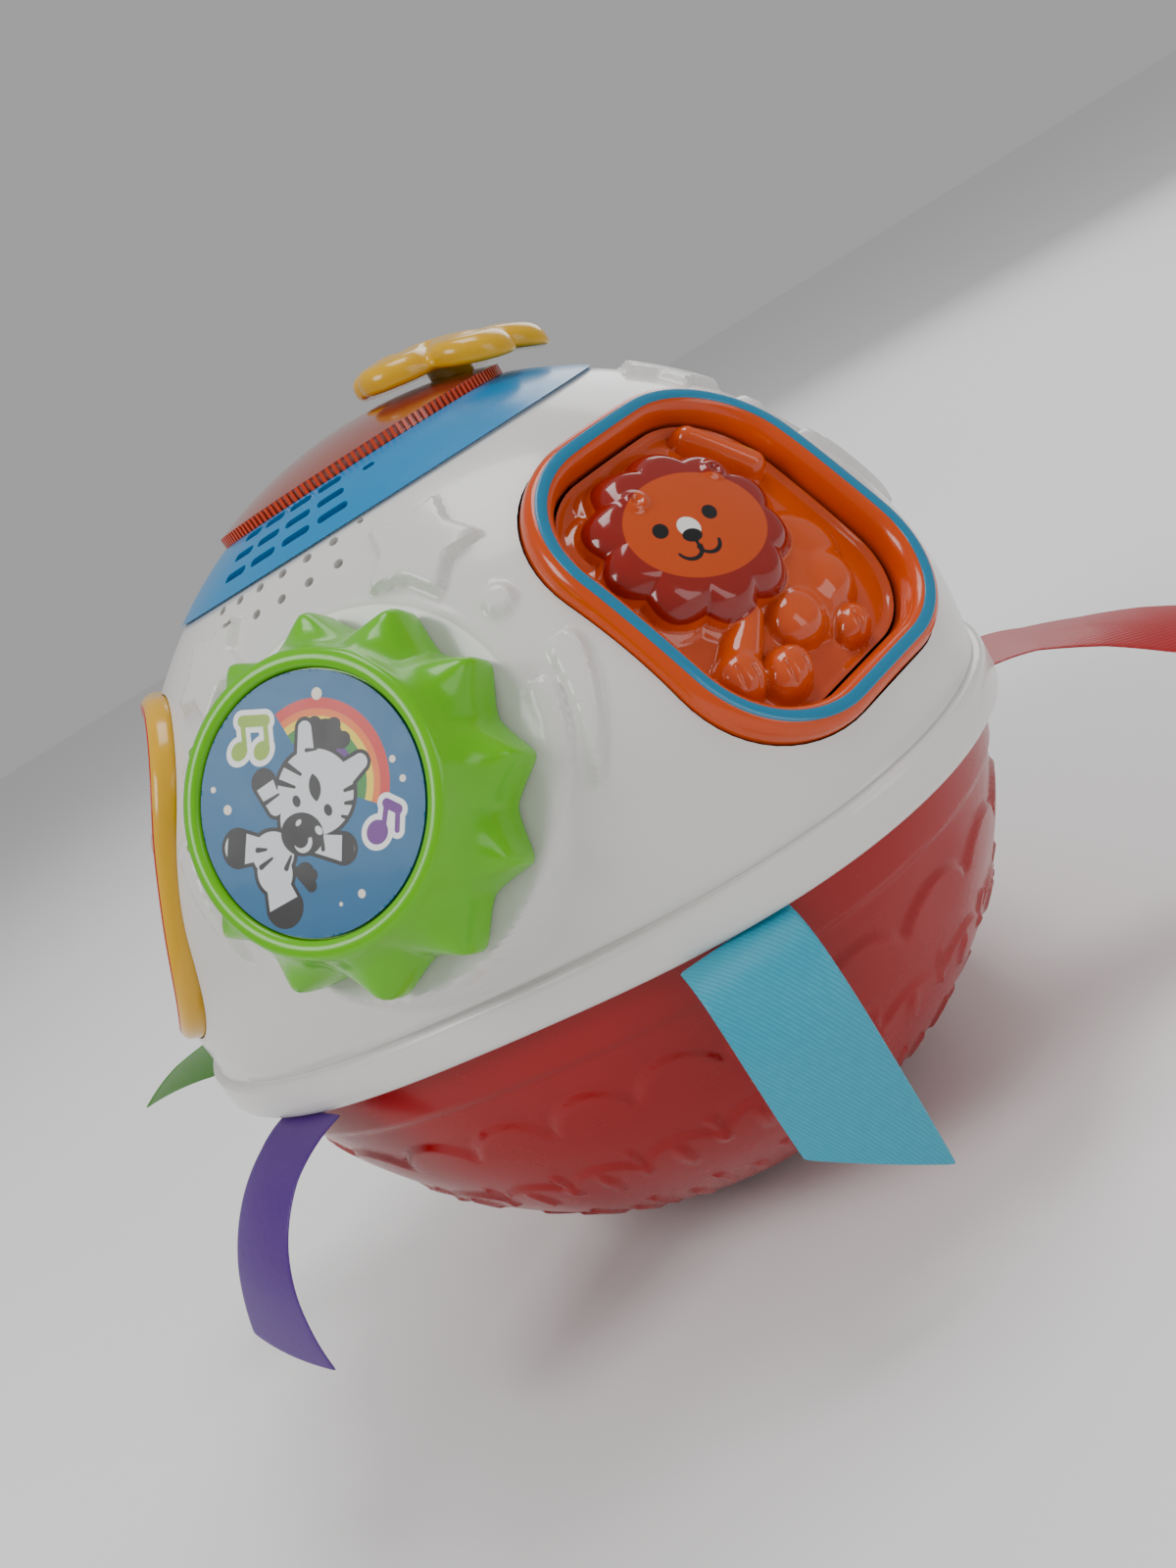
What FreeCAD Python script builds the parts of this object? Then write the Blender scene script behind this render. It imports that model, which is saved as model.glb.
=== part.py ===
import FreeCAD, Part
import math
import os
import Sketcher

# A motorised activity ball: a white upper shell and a red lower shell meet at a soft
# three-lobed waist. A blue speaker band and a light dome close the top, a toothed
# spinner faces the front and three press panels sit on the lobes of the waist.
# The frame: +Z is the ball's axis, the origin is the centre of the resting flat
# and the spinner faces -Y. Azimuths are measured from the spinner towards +X.

Vector = FreeCAD.Vector
document = FreeCAD.newDocument("activity_ball")
sheet = document.addObject("Spreadsheet::Sheet", "Sizes")

SIZES = [
    ("parting_drop", 7.3, "waist seam below the ball centre"),
    ("waist_radius", 80.0, "mean outer radius of the white rim flange, the ball's own size"),
    ("upper_swell", 2.8, "white shell proud of the rim"),
    ("lower_step", 3.0, "red shell inside the rim"),
    ("flat_sink", 2.4, "depth of the resting flat below the round form"),
    ("waist_lobe", 0.087, "depth of the three lobes as a share of the radius"),
    ("lobe_fade", 1.5, "power with which the lobes fade away from the waist"),
    ("waist_pinch", 3.6, "how far the white wall is drawn in above the flange"),
    ("pinch_height", 36.0, "height over which the pinch runs out"),
    ("flange_height", 7.4, "height of the rim flange"),
    ("flange_bevel", 0.8, "bevel on the flange edges"),
    ("shell_wall", 2.4, "wall of both shells"),
    ("gap", 0.2, "clearance between fixed neighbours"),
    ("slide_gap", 0.45, "clearance round a pressed button"),
    ("running_fit", 0.05, "radial clearance of a turning shaft"),
    ("band_step", 0.6, "blue band proud of the white shell"),
    ("band_drop", 12.3, "lower edge of the band below the top of the white form"),
    ("dome_drop", 5.1, "upper edge of the band below the top of the white form"),
    ("band_wall", 2.4, "wall of the band"),
    ("spigot_depth", 3.0, "depth of the band's locating ring"),
    ("slot_span", 8.3, "degrees of the band that a speaker slot takes up"),
    ("slot_width", 1.9, "width of a speaker slot"),
    ("slot_turn", 10.6, "degrees between slot columns"),
    ("slot_rise", 3.1, "degrees between slot rows"),
    ("grille_azimuth", -6.0, "centre of the speaker grille in degrees"),
    ("grille_rise", 4.65, "middle speaker row above the band's lower edge"),
    ("vent_radius", 0.9, "radius of a small sound hole"),
    ("vent_turn", 6.5, "degrees between sound holes"),
    ("dome_step", 2.2, "light dome proud of the white shell"),
    ("dome_edge", 29.9, "radius of the dome's upright skirt"),
    ("dome_wall", 2.0, "wall of the light dome"),
    ("stem_radius", 4.0, "radius of the flower's stem"),
    ("flower_radius", 18.5, "reach of the petals"),
    ("petal_radius", 6.9, "radius of one petal"),
    ("flower_core", 11.0, "radius of the flower's middle"),
    ("flower_thick", 4.4, "thickness of the flower"),
    ("flower_travel", 1.6, "press of the flower"),
    ("flower_shift", 22.0, "offset of the flower from the ball's axis"),
    ("flower_side", 105.0, "side of the flower, in degrees from the spinner"),
    ("spinner_elevation", 27.0, "tilt of the spinner's axis in degrees"),
    ("seat_drop", 5.3, "flat spinner land inside the white form"),
    ("seat_radius", 30.5, "radius of the flat spinner land"),
    ("seat_wall", 3.6, "thickness of the spinner land"),
    ("spinner_rise", 0.6, "gap between land and knob"),
    ("knob_height", 14.3, "height of the knob under its label"),
    ("knob_radius", 25.2, "radius of the toothed skirt between its teeth"),
    ("skirt_height", 8.5, "height of the toothed skirt"),
    ("tooth_radius", 4.2, "radius of one rounded tooth"),
    ("tooth_count", 12, "teeth round the knob"),
    ("knob_wall", 3.0, "wall of the hollow knob"),
    ("label_radius", 18.4, "radius of the printed label"),
    ("label_thick", 0.8, "thickness of the printed label"),
    ("label_rim", 1.4, "height of the rim round the label"),
    ("rim_wall", 3.0, "width of the rim round the label"),
    ("shaft_radius", 4.0, "radius of the spinner shaft"),
    ("hub_wall", 2.6, "wall of the knob's hub"),
    ("cam_radius", 10.0, "reach of the click cam"),
    ("panel_azimuth", 57.5, "turn of the two front press panels from the spinner in degrees"),
    ("panel_elevation", 27.5, "tilt of a press panel's axis in degrees"),
    ("panel_width", 57.0, "width of a press panel"),
    ("panel_height", 61.0, "height of a press panel"),
    ("panel_corner", 20.0, "corner radius of a press panel"),
    ("panel_drop", 1.2, "front of the trim ring inside the white form"),
    ("trim_depth", 7.4, "depth of the trim below the face plane"),
    ("trim_proud", 3.0, "rise of the trim above the white wall"),
    ("trim_width", 5.2, "width of the trim ring"),
    ("stripe_inset", 1.5, "stripe groove from the trim's outer edge"),
    ("stripe_width", 1.4, "width of the inlaid stripe"),
    ("stripe_depth", 0.7, "depth of the inlaid stripe"),
    ("button_sink", 5.0, "depth of the dish floor below the face plane"),
    ("button_plate", 2.6, "thickness of the button plate"),
    ("button_lip", 1.6, "reach of the button's retaining lip"),
    ("button_travel", 2.2, "press travel of an animal button"),
    ("head_radius", 12.6, "radius of the raised head"),
    ("head_rise", 7.0, "rise of the animal's head above the dish floor"),
    ("face_radius", 8.6, "radius of the printed face plate"),
    ("face_thick", 0.6, "thickness of the printed face plate"),
    ("pad_radius", 5.0, "radius of the rubber return pad"),
    ("pad_height", 3.6, "height of the rubber return pad"),
    ("tact_side", 6.2, "side of a tact switch"),
    ("tact_height", 4.4, "height of a tact switch with its board"),
    ("ribbon_width", 19.0, "width of a satin ribbon"),
    ("ribbon_length", 38.0, "free length of a satin ribbon"),
    ("ribbon_thick", 0.8, "thickness of the ribbon's simple solid"),
    ("ribbon_root", 4.6, "level stretch of ribbon under the flange"),
    ("door_height", 5.5, "height of the battery door"),
    ("door_floor", 2.6, "floor of the battery door"),
    ("door_rim", 5.0, "width of the battery door's seating rim"),
    ("ring_height", 2.8, "seat ring inside the lower shell"),
    ("door_screw_place", 24.5, "door screw from the middle of the door"),
    ("door_screw_head", 2.9, "radius of the door screw's head"),
    ("door_screw_radius", 1.45, "radius of the door screw"),
    ("door_screw_length", 8.0, "length of the door screw under its head"),
    ("door_boss", 4.6, "radius of the boss round the door screw"),
    ("cell_radius", 5.25, "radius of an AAA cell"),
    ("cell_length", 44.5, "length of an AAA cell"),
    ("cell_pitch", 11.6, "spacing of the cells"),
    ("box_wall", 1.8, "wall of the battery box"),
    ("axle_height", 48.0, "weight axle above the resting flat"),
    ("axle_radius", 2.0, "radius of the weight axle"),
    ("weight_radius", 20.0, "radius of the off-centre weight"),
    ("weight_width", 12.0, "width of the off-centre weight"),
    ("gear_module", 1.0, "module of the drive gears"),
    ("gear_teeth", 36, "teeth on the weight's gear"),
    ("pinion_teeth", 12, "teeth on the motor pinion"),
    ("gear_width", 4.0, "width of the drive gears"),
    ("mesh_gap", 0.35, "extra centre distance of the gears"),
    ("motor_radius", 10.0, "radius of the motor can"),
    ("motor_length", 24.0, "length of the motor can"),
    ("frame_wall", 2.6, "thickness of chassis plate and walls"),
    ("chassis_inset", 26.0, "edge of the chassis plate inside the rim"),
    ("chassis_drop", 4.1, "underside of the chassis plate below the ball centre"),
    ("wall_reach", 15.5, "inner face of the bearing walls from the middle"),
    ("post_inset", 22.0, "screw posts inside the rim"),
    ("post_radius", 4.0, "radius of a screw post"),
    ("screw_depth", 14.0, "head of a shell screw below the top of its post"),
    ("screw_length", 24.0, "length of a shell screw under its head"),
    ("screw_cap", 2.0, "height of a shell screw's head"),
    ("screw_radius", 1.5, "radius of a shell screw"),
    ("screw_head", 2.6, "radius of a shell screw's head"),
    ("tower_radius", 12.0, "radius of the light tower"),
    ("tower_drop", 27.4, "top of the light tower below the top of the white form"),
    ("board_thick", 1.6, "thickness of the circuit boards"),
    ("light_board_radius", 27.0, "radius of the light board"),
    ("speaker_radius", 14.0, "radius of the speaker"),
    ("speaker_depth", 8.0, "depth of the speaker"),
    ("mode_length", 7.0, "length of the mode knob"),
    ("mode_width", 3.4, "width of the mode knob"),
    ("mode_rise", 5.45, "mode knob above the band's lower edge"),
    ("mode_travel", 3.0, "travel of the mode knob to each side"),
    ("emboss_rise", 1.1, "height of the raised decorations"),
    ("star_radius", 8.4, "reach of the raised star"),
]

TIED = {
    "upper_radius": "waist_radius + upper_swell",
    "lower_radius": "waist_radius - lower_step",
    "centre_height": "lower_radius - flat_sink",
    "band_radius": "upper_radius + band_step",
    "band_low": "upper_radius - band_drop",
    "band_high": "upper_radius - dome_drop",
    "dome_radius": "upper_radius + dome_step",
    "seat_distance": "upper_radius - seat_drop",
    "panel_face": "upper_radius - panel_drop",
    "chassis_radius": "waist_radius - chassis_inset",
    "chassis_base": "centre_height - chassis_drop",
    "post_circle": "waist_radius - post_inset",
    "tower_top": "centre_height + upper_radius - tower_drop",
}

for row, (alias, number, note) in enumerate(SIZES, start=1):
    sheet.set("A%d" % row, alias)
    sheet.set("B%d" % row, str(number))
    sheet.set("C%d" % row, note)
    sheet.setAlias("B%d" % row, alias)
document.recompute()


def value(name):
    """A size in millimetres: a cell of the sheet, or the sum that ties it to other sizes."""
    if name not in TIED:
        return float(sheet.get(name))
    words = TIED[name].split()
    signs = [1] + [1 if word == "+" else -1 for word in words[1::2]]
    return sum(sign * value(word) for sign, word in zip(signs, words[0::2]))


def sized(text):
    """Turn a sum of bare names into an expression on the sheet."""
    words = text.replace("(", " ( ").replace(")", " ) ").split()
    if any(word in TIED for word in words):
        return sized(" ".join("( %s )" % TIED[word] if word in TIED else word for word in words))
    aliases = [size[0] for size in SIZES]
    return " ".join("Sizes." + word if word in aliases else word for word in words)


def bind(item, **sizes):
    for name, text in sizes.items():
        item.setExpression(name, sized(text))


# ---------------------------------------------------------------- frames and primitives
CENTRE = Vector(0, 0, value("centre_height"))
PARTING = value("centre_height") - value("parting_drop")
INSIDE = value("upper_radius") * 0.72
OUTSIDE = value("upper_radius") + 14
PANEL_AZIMUTHS = {"lion": value("panel_azimuth"), "elephant": 180, "monkey": -value("panel_azimuth")}
POST_AZIMUTHS = (30, 150, -90)


def direction(azimuth, elevation):
    turn, rise = math.radians(azimuth), math.radians(elevation)
    return Vector(math.sin(turn) * math.cos(rise), -math.cos(turn) * math.cos(rise), math.sin(rise))


def face_frame(azimuth, elevation):
    """A frame at the ball centre whose Z points out of the face and X runs to its right."""
    out = direction(azimuth, elevation)
    right = Vector(math.cos(math.radians(azimuth)), math.sin(math.radians(azimuth)), 0)
    return FreeCAD.Placement(CENTRE, FreeCAD.Rotation(right, out.cross(right), out, "ZXY"))


def moved(item, x=0.0, y=0.0, z=0.0, axis=None, angle=0.0):
    turn = FreeCAD.Rotation(axis or Vector(0, 0, 1), angle)
    item.Placement = FreeCAD.Placement(Vector(x, y, z), turn)
    return item


def box(length, width, height, x=0.0, y=0.0, z=0.0):
    """A box standing on z, centred on x and y."""
    item = document.addObject("Part::Box", "Block")
    bind(item, Length=length, Width=width, Height=height)
    document.recompute([item])
    return moved(item, x - float(item.Length) / 2, y - float(item.Width) / 2, z)


def cylinder(radius, height, x=0.0, y=0.0, z=0.0, axis=None, angle=0.0):
    item = document.addObject("Part::Cylinder", "Round")
    bind(item, Radius=radius, Height=height)
    return moved(item, x, y, z, axis, angle)


def sphere(radius, z=0.0):
    item = document.addObject("Part::Sphere", "Ball")
    bind(item, Radius=radius)
    return moved(item, z=z)


def fused(items, label="Union"):
    item = document.addObject("Part::MultiFuse", "Union")
    item.Shapes = items
    item.Label = label
    return item


def common(items, label="Overlap"):
    item = document.addObject("Part::MultiCommon", "Overlap")
    item.Shapes = items
    item.Label = label
    return item


def cut(base, tools, label="Remainder"):
    item = document.addObject("Part::Cut", "Remainder")
    item.Base = base
    item.Tool = tools[0] if len(tools) == 1 else fused(tools)
    item.Label = label
    return item


def solid_of(item):
    document.recompute()
    return item.Shape


def made(shape, label):
    """A sub-part whose free-form shape comes from Part's own functions."""
    item = document.addObject("Part::Feature", label)
    item.Shape = shape
    item.Label = label
    return item


def frame_along_x(x, y, z):
    """Axis along +X, for the drive's axles and gears."""
    return FreeCAD.Placement(Vector(x, y, z), FreeCAD.Rotation(Vector(0, 1, 0), 90))


# ---------------------------------------------------------------- sketched bodies
def body(label):
    item = document.addObject("PartDesign::Body", label)
    item.Label = label
    return item


def sketch_on(owner, height):
    plane = next(f for f in owner.Origin.OriginFeatures if f.Role == "XY_Plane")
    sketch = owner.newObject("Sketcher::SketchObject", "Outline")
    sketch.AttachmentSupport = [(plane, "")]
    sketch.MapMode = "FlatFace"
    sketch.setExpression("AttachmentOffset.Base.z", sized(height))
    return sketch


def draw_circle(sketch, radius, x="0", y="0"):
    centre = Vector(1, 1, 0)
    circle = sketch.addGeometry(Part.Circle(centre, Vector(0, 0, 1), 1.0), False)
    for kind, text in (("DistanceX", x), ("DistanceY", y)):
        if text == "0":
            on_axis = sketch.addConstraint(Sketcher.Constraint(kind, -1, 1, circle, 3, 1.0))
            sketch.setDatum(on_axis, FreeCAD.Units.Quantity("0 mm"))
        else:
            place = sketch.addConstraint(Sketcher.Constraint(kind, -1, 1, circle, 3, 1.0))
            sketch.setExpression("Constraints[%d]" % place, sized(text))
    size = sketch.addConstraint(Sketcher.Constraint("Radius", circle, 1.0))
    sketch.setExpression("Constraints[%d]" % size, sized(radius))


def draw_rounded(sketch, width, height, corner):
    """A rounded rectangle about the origin: four sides, four tangent corner arcs."""
    half_w, half_h, bend = 20.0, 22.0, 5.0
    sides, arcs = [], []
    for turn in range(4):
        quarter = math.pi / 2 * turn
        reach, along = (half_w, half_h) if turn % 2 == 0 else (half_h, half_w)
        out = Vector(math.cos(quarter), math.sin(quarter), 0)
        side = Vector(-math.sin(quarter), math.cos(quarter), 0)
        start = out * reach - side * (along - bend)
        end = out * reach + side * (along - bend)
        hub = out * (reach - bend) + side * (along - bend)
        sides.append(sketch.addGeometry(Part.LineSegment(start, end), False))
        circle = Part.Circle(hub, Vector(0, 0, 1), bend)
        arcs.append(sketch.addGeometry(Part.ArcOfCircle(circle, quarter, quarter + math.pi / 2), False))
    join = Sketcher.Constraint
    for turn in range(4):
        sketch.addConstraint(join("Tangent", sides[turn], 2, arcs[turn], 1))
        sketch.addConstraint(join("Tangent", arcs[turn], 2, sides[(turn + 1) % 4], 1))
    sketch.addConstraint(join("Vertical", sides[2]))
    sketch.addConstraint(join("Horizontal", sides[3]))
    for turn in range(3):
        sketch.addConstraint(join("Equal", arcs[turn], arcs[turn + 1]))
    sketch.addConstraint(join("Symmetric", sides[0], 1, sides[0], 2, -1))
    sketch.addConstraint(join("Symmetric", sides[1], 1, sides[1], 2, -2))
    for kind, text in (("DistanceX", "( %s ) / 2" % width), ("DistanceY", "( %s ) / 2" % height)):
        edge = sides[0] if kind == "DistanceX" else sides[1]
        place = sketch.addConstraint(join(kind, -1, 1, edge, 1, half_w if edge == sides[0] else half_h))
        sketch.setExpression("Constraints[%d]" % place, sized(text))
    size = sketch.addConstraint(join("Radius", arcs[0], bend))
    sketch.setExpression("Constraints[%d]" % size, sized(corner))


def raise_from(owner, sketch, length):
    pad = owner.newObject("PartDesign::Pad", "Pad")
    pad.Profile = sketch
    pad.setExpression("Length", sized(length))
    owner.Tip = pad
    return pad


def sink_from(owner, sketch, length):
    """Cut upwards from the sketch; the removed volume is checked."""
    document.recompute()
    before = owner.Shape.Volume
    pocket = owner.newObject("PartDesign::Pocket", "Pocket")
    pocket.Profile = sketch
    pocket.Reversed = True
    pocket.setExpression("Length", sized(length))
    owner.Tip = pocket
    document.recompute()
    if not owner.Shape.Volume < before - 1e-6:
        raise ValueError("a pocket of %s cuts nothing" % owner.Label)
    return pocket


def pad_round(owner, radius, base, length, x="0", y="0"):
    sketch = sketch_on(owner, base)
    draw_circle(sketch, radius, x, y)
    return raise_from(owner, sketch, length)


def pocket_round(owner, radius, base, length, x="0", y="0"):
    sketch = sketch_on(owner, base)
    draw_circle(sketch, radius, x, y)
    return sink_from(owner, sketch, length)


def pad_rounded(owner, width, height, corner, base, length):
    sketch = sketch_on(owner, base)
    draw_rounded(sketch, width, height, corner)
    return raise_from(owner, sketch, length)


def pocket_rounded(owner, width, height, corner, base, length):
    sketch = sketch_on(owner, base)
    draw_rounded(sketch, width, height, corner)
    return sink_from(owner, sketch, length)


def patterned(owner, feature, count):
    """Repeat a feature about the body's Z axis."""
    pattern = owner.newObject("PartDesign::PolarPattern", "Ring")
    pattern.Originals = [feature]
    pattern.Axis = (next(f for f in owner.Origin.OriginFeatures if f.Role == "Z_Axis"), [""])
    pattern.Angle = 360
    pattern.setExpression("Occurrences", sized(count))
    owner.Tip = pattern
    return pattern


# ---------------------------------------------------------------- the lobed shells
def lobed_radius(radius, share, azimuth):
    return radius * (1 - value("waist_lobe") * share * math.cos(3 * math.radians(azimuth)))


def lobed_wire(radius, share, height):
    points = []
    for step in range(36):
        azimuth = 10 * step
        reach = lobed_radius(radius, share, azimuth)
        turn = math.radians(azimuth)
        points.append(Vector(reach * math.sin(turn), -reach * math.cos(turn), height))
    curve = Part.BSplineCurve()
    curve.interpolate(Points=points, PeriodicFlag=True)
    return Part.Wire(curve.toShape())


def lobed_solid(sections, ruled=False):
    return Part.makeLoft([lobed_wire(*section) for section in sections], True, ruled)


def upper_sections(offset, bottom, top):
    """Sections of the upper form, offset outwards, from height to height above the centre."""
    sections = []
    count = 12
    for step in range(count + 1):
        height = bottom + (top - bottom) * math.sin(math.pi / 2 * step / count)
        share = (height + value("parting_drop")) / (value("band_low") + value("parting_drop"))
        fade = max(0.0, 1 - max(0.0, share)) ** value("lobe_fade")
        pinch = value("waist_pinch") * max(0.0, 1 - height / value("pinch_height")) ** 2
        reach = math.sqrt((value("upper_radius") + offset) ** 2 - height ** 2) - pinch
        sections.append((reach, fade, value("centre_height") + height))
    return sections


def lower_sections(offset, bottom, top):
    """Sections of the lower form between two heights above the resting flat."""
    sections = []
    count = 12
    for step in range(count + 1):
        height = top - (top - bottom) * math.sin(math.pi / 2 * step / count)
        fade = max(0.0, min(1.0, height / PARTING)) ** value("lobe_fade")
        drop = value("centre_height") - height
        sections.append((math.sqrt((value("lower_radius") + offset) ** 2 - drop ** 2), fade, height))
    return sections


def prism(width, height, corner, low, high, frame):
    """A rounded prism along a face frame's outward axis."""
    owner = body("Prism")
    pad_rounded(owner, width, height, corner, low, "%s - ( %s )" % (high, low))
    shape = solid_of(owner).copy()
    shape.Placement = frame.multiply(shape.Placement)
    return shape


def pin(radius, low, high, frame):
    shape = Part.makeCylinder(radius, high - low, Vector(0, 0, low))
    shape.Placement = frame
    return shape


def star_prism(reach, frame, turn):
    corners = []
    for step in range(11):
        angle = math.radians(90 + turn + 36 * step)
        radius = reach if step % 2 == 0 else 0.56 * reach
        corners.append(Vector(radius * math.cos(angle), radius * math.sin(angle), INSIDE))
    shape = Part.Face(Part.makePolygon(corners)).extrude(Vector(0, 0, OUTSIDE - INSIDE))
    shape.Placement = frame
    return shape


def comet_prism(reach, start, end, head, frame):
    """A tapering arc about the spinner's axis: a round head running out to a thin tail."""
    outer, inner = [], []
    count = 10
    for step in range(count + 1):
        share = step / count
        angle = math.radians(start + (end - start) * share)
        half = head / 2 * (1 - 0.85 * share)
        across = Vector(math.cos(angle), math.sin(angle), 0)
        outer.append(across * (reach + half))
        inner.append(across * (reach - half))
    low = Vector(0, 0, INSIDE)
    corners = [p + low for p in outer + inner[::-1]]
    shape = Part.Face(Part.makePolygon(corners + corners[:1])).extrude(Vector(0, 0, OUTSIDE - INSIDE))
    shape.Placement = frame
    return shape


def decorations(skin):
    """Raised stars, dots and comets on both sides of the spinner and of the two plain faces."""
    frame = face_frame(0, value("spinner_elevation"))
    outlines = []
    for side in (1, -1):
        right = 0 if side == 1 else 180
        outlines.append(star_prism(value("star_radius"), face_frame(22 * side, 48), 12 * side))
        outlines.append(pin(2.4, INSIDE, OUTSIDE, face_frame(27 * side, 37.5)))
        outlines.append(comet_prism(30.5, right + 4 * side, right - 34 * side, 4.2, frame))
        outlines.append(comet_prism(36.0, right + 10 * side, right - 18 * side, 4.6, frame))
    raised = [outline.common(skin) for outline in outlines]
    copies = []
    for turn in (0, 120, 240):
        for shape in raised:
            copies.append(shape.rotated(Vector(0, 0, 0), Vector(0, 0, 1), turn))
    return copies


def upper_shell():
    wall = value("shell_wall")
    centre = value("centre_height")
    bottom = value("flange_height") - value("parting_drop") - 0.6
    outer = lobed_solid(upper_sections(0.0, bottom, value("band_low")))
    bevel = value("flange_bevel")
    rim = value("waist_radius")
    flange_top = PARTING + value("flange_height")
    flange = lobed_solid([(rim - bevel, 1, PARTING), (rim, 1, PARTING + bevel),
                          (rim, 1, flange_top - bevel), (rim - bevel, 1, flange_top)], True)
    skin = lobed_solid(upper_sections(value("emboss_rise"), bottom + 4, value("band_low") - 1))
    raised = decorations(skin)
    seat_frame = face_frame(0, value("spinner_elevation"))
    seat_back = value("seat_distance") - value("seat_wall")
    seat = pin(value("seat_radius"), seat_back, value("seat_distance"), seat_frame)
    shape = outer.fuse([flange, seat] + raised)
    inner_low = value("flange_height") - value("parting_drop") - 8.0
    hollow = lobed_solid(upper_sections(-wall, inner_low, value("band_low") + 0.5))
    hollow = hollow.cut(pin(value("seat_radius"), seat_back, OUTSIDE, seat_frame))
    shape = shape.cut([hollow])
    for azimuth in POST_AZIMUTHS:
        shape = shape.fuse(upper_post(azimuth))
    tools = [pin(value("shaft_radius") + value("running_fit"), INSIDE, OUTSIDE, seat_frame),
             pin(value("seat_radius"), value("seat_distance"), OUTSIDE, seat_frame)]
    for azimuth in PANEL_AZIMUTHS.values():
        frame = face_frame(azimuth, value("panel_elevation"))
        tools.append(prism("panel_width + 2 * gap", "panel_height + 2 * gap", "panel_corner + gap",
                           "panel_face - trim_depth - 12", "panel_face + 20", frame))
    for row_elevation in (56.8, 53.1):
        for step in range(6):
            azimuth = 8.6 - value("vent_turn") * step
            tools.append(pin(value("vent_radius"), value("upper_radius") - 9, OUTSIDE,
                             face_frame(azimuth, row_elevation)))
    for azimuth in POST_AZIMUTHS:
        x, y = post_place(azimuth)
        tools.append(Part.makeCylinder(value("screw_radius") - 0.2, 12, Vector(x, y, chassis_top())))
    shape = shape.cut(tools)
    return made(shape.removeSplitter(), "upper_shell")


def chassis_top():
    return value("chassis_base") + value("frame_wall")


def post_place(azimuth):
    spot = direction(azimuth, 0) * value("post_circle")
    return spot.x, spot.y


def upper_post(azimuth):
    """A screw post from the chassis up to the white wall."""
    x, y = post_place(azimuth)
    post = Part.makeCylinder(value("post_radius"), 62, Vector(x, y, chassis_top()))
    return post.common(lobed_solid(upper_sections(-0.8, -6.0, value("band_low"))))


def lower_shell():
    wall = value("shell_wall")
    outer = lobed_solid(lower_sections(0.0, value("door_height"), PARTING))
    hollow = lobed_solid(lower_sections(-wall, value("door_height") + value("ring_height"), PARTING + 0.5))
    hole = Part.makeCylinder(door_radius() - value("door_rim"), 20, Vector(0, 0, 0))
    shape = outer.cut([hollow, hole])
    posts = []
    bores = []
    for azimuth in POST_AZIMUTHS:
        x, y = post_place(azimuth)
        post = Part.makeCylinder(value("post_radius"), value("chassis_base"), Vector(x, y, 0))
        above = Part.makeCylinder(value("post_radius"), value("chassis_base") - PARTING, Vector(x, y, PARTING))
        posts.append(post.common(outer).fuse(above))
        floor = value("chassis_base") - value("screw_depth")
        bores.append(Part.makeCylinder(value("screw_head") + value("gap"), floor, Vector(x, y, 0)))
        bores.append(Part.makeCylinder(value("screw_radius") + value("gap"), value("chassis_base") + 1, Vector(x, y, 0)))
    shape = shape.fuse(posts).cut(bores)
    return made(shape.removeSplitter(), "lower_shell")


def door_radius():
    drop = value("centre_height") - value("door_height")
    return math.sqrt(value("lower_radius") ** 2 - drop ** 2)


# ---------------------------------------------------------------- top of the ball
def band_elevation(rise):
    """Tilt of a spot on the band that lies a named rise above the band's lower edge."""
    return math.degrees(math.asin((value("band_low") + value(rise)) / value("band_radius")))


def speaker_slot(row, column, deep):
    """A slot with round ends; every row's slots take up the same angle of the band."""
    elevation = band_elevation("grille_rise") + value("slot_rise") * row
    span = value("band_radius") * math.cos(math.radians(elevation)) * math.radians(value("slot_span"))
    half = (span - value("slot_width")) / 2
    ends = [cylinder("slot_width / 2", "12", x=side * half, z=deep) for side in (-1, 1)]
    slot = fused([box(str(2 * half), "slot_width", "12", z=deep)] + ends)
    frame = face_frame(value("grille_azimuth") + value("slot_turn") * column, elevation)
    slot.Placement = FreeCAD.Placement(Vector(0, 0, 0), frame.Rotation)
    return slot


def top_band():
    """A ring of the ball's own curvature with three rows of speaker slots."""
    zone = common([sphere("band_radius"), cylinder("band_radius", "band_high - band_low", z=value("band_low"))])
    inner = sphere("band_radius - band_wall")
    deep = value("band_radius") - 7.4
    rows = [speaker_slot(row, column, deep) for row in (-1, 0, 1) for column in (-1.5, -0.5, 0.5, 1.5)]
    mode_slot = box("mode_length + 2 * mode_travel + 2 * slide_gap", "mode_width + 2 * slide_gap", "12", z=deep)
    mode_turn = FreeCAD.Placement(Vector(0, 0, 0), face_frame(180, band_elevation("mode_rise")).Rotation)
    mode_slot.Placement = mode_turn.multiply(mode_slot.Placement)
    stem_x, stem_y = flower_place()
    notch = cylinder("stem_radius + slide_gap", "band_drop", x=stem_x, y=stem_y, z=value("band_low"))
    ring = cut(zone, [inner, mode_slot, notch] + rows)
    opening = math.sqrt((value("upper_radius") - value("shell_wall")) ** 2 - value("band_low") ** 2)
    spigot = Part.makeCylinder(opening - value("gap"), value("spigot_depth") + 1,
                               Vector(0, 0, value("band_low") - value("spigot_depth")))
    bore = Part.makeCylinder(opening - value("gap") - 1.8, 20, Vector(0, 0, value("band_low") - 10))
    shape = solid_of(ring).fuse(spigot.cut(bore))
    item = made(shape, "top_band")
    item.Placement = FreeCAD.Placement(CENTRE, FreeCAD.Rotation())
    return item


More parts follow.
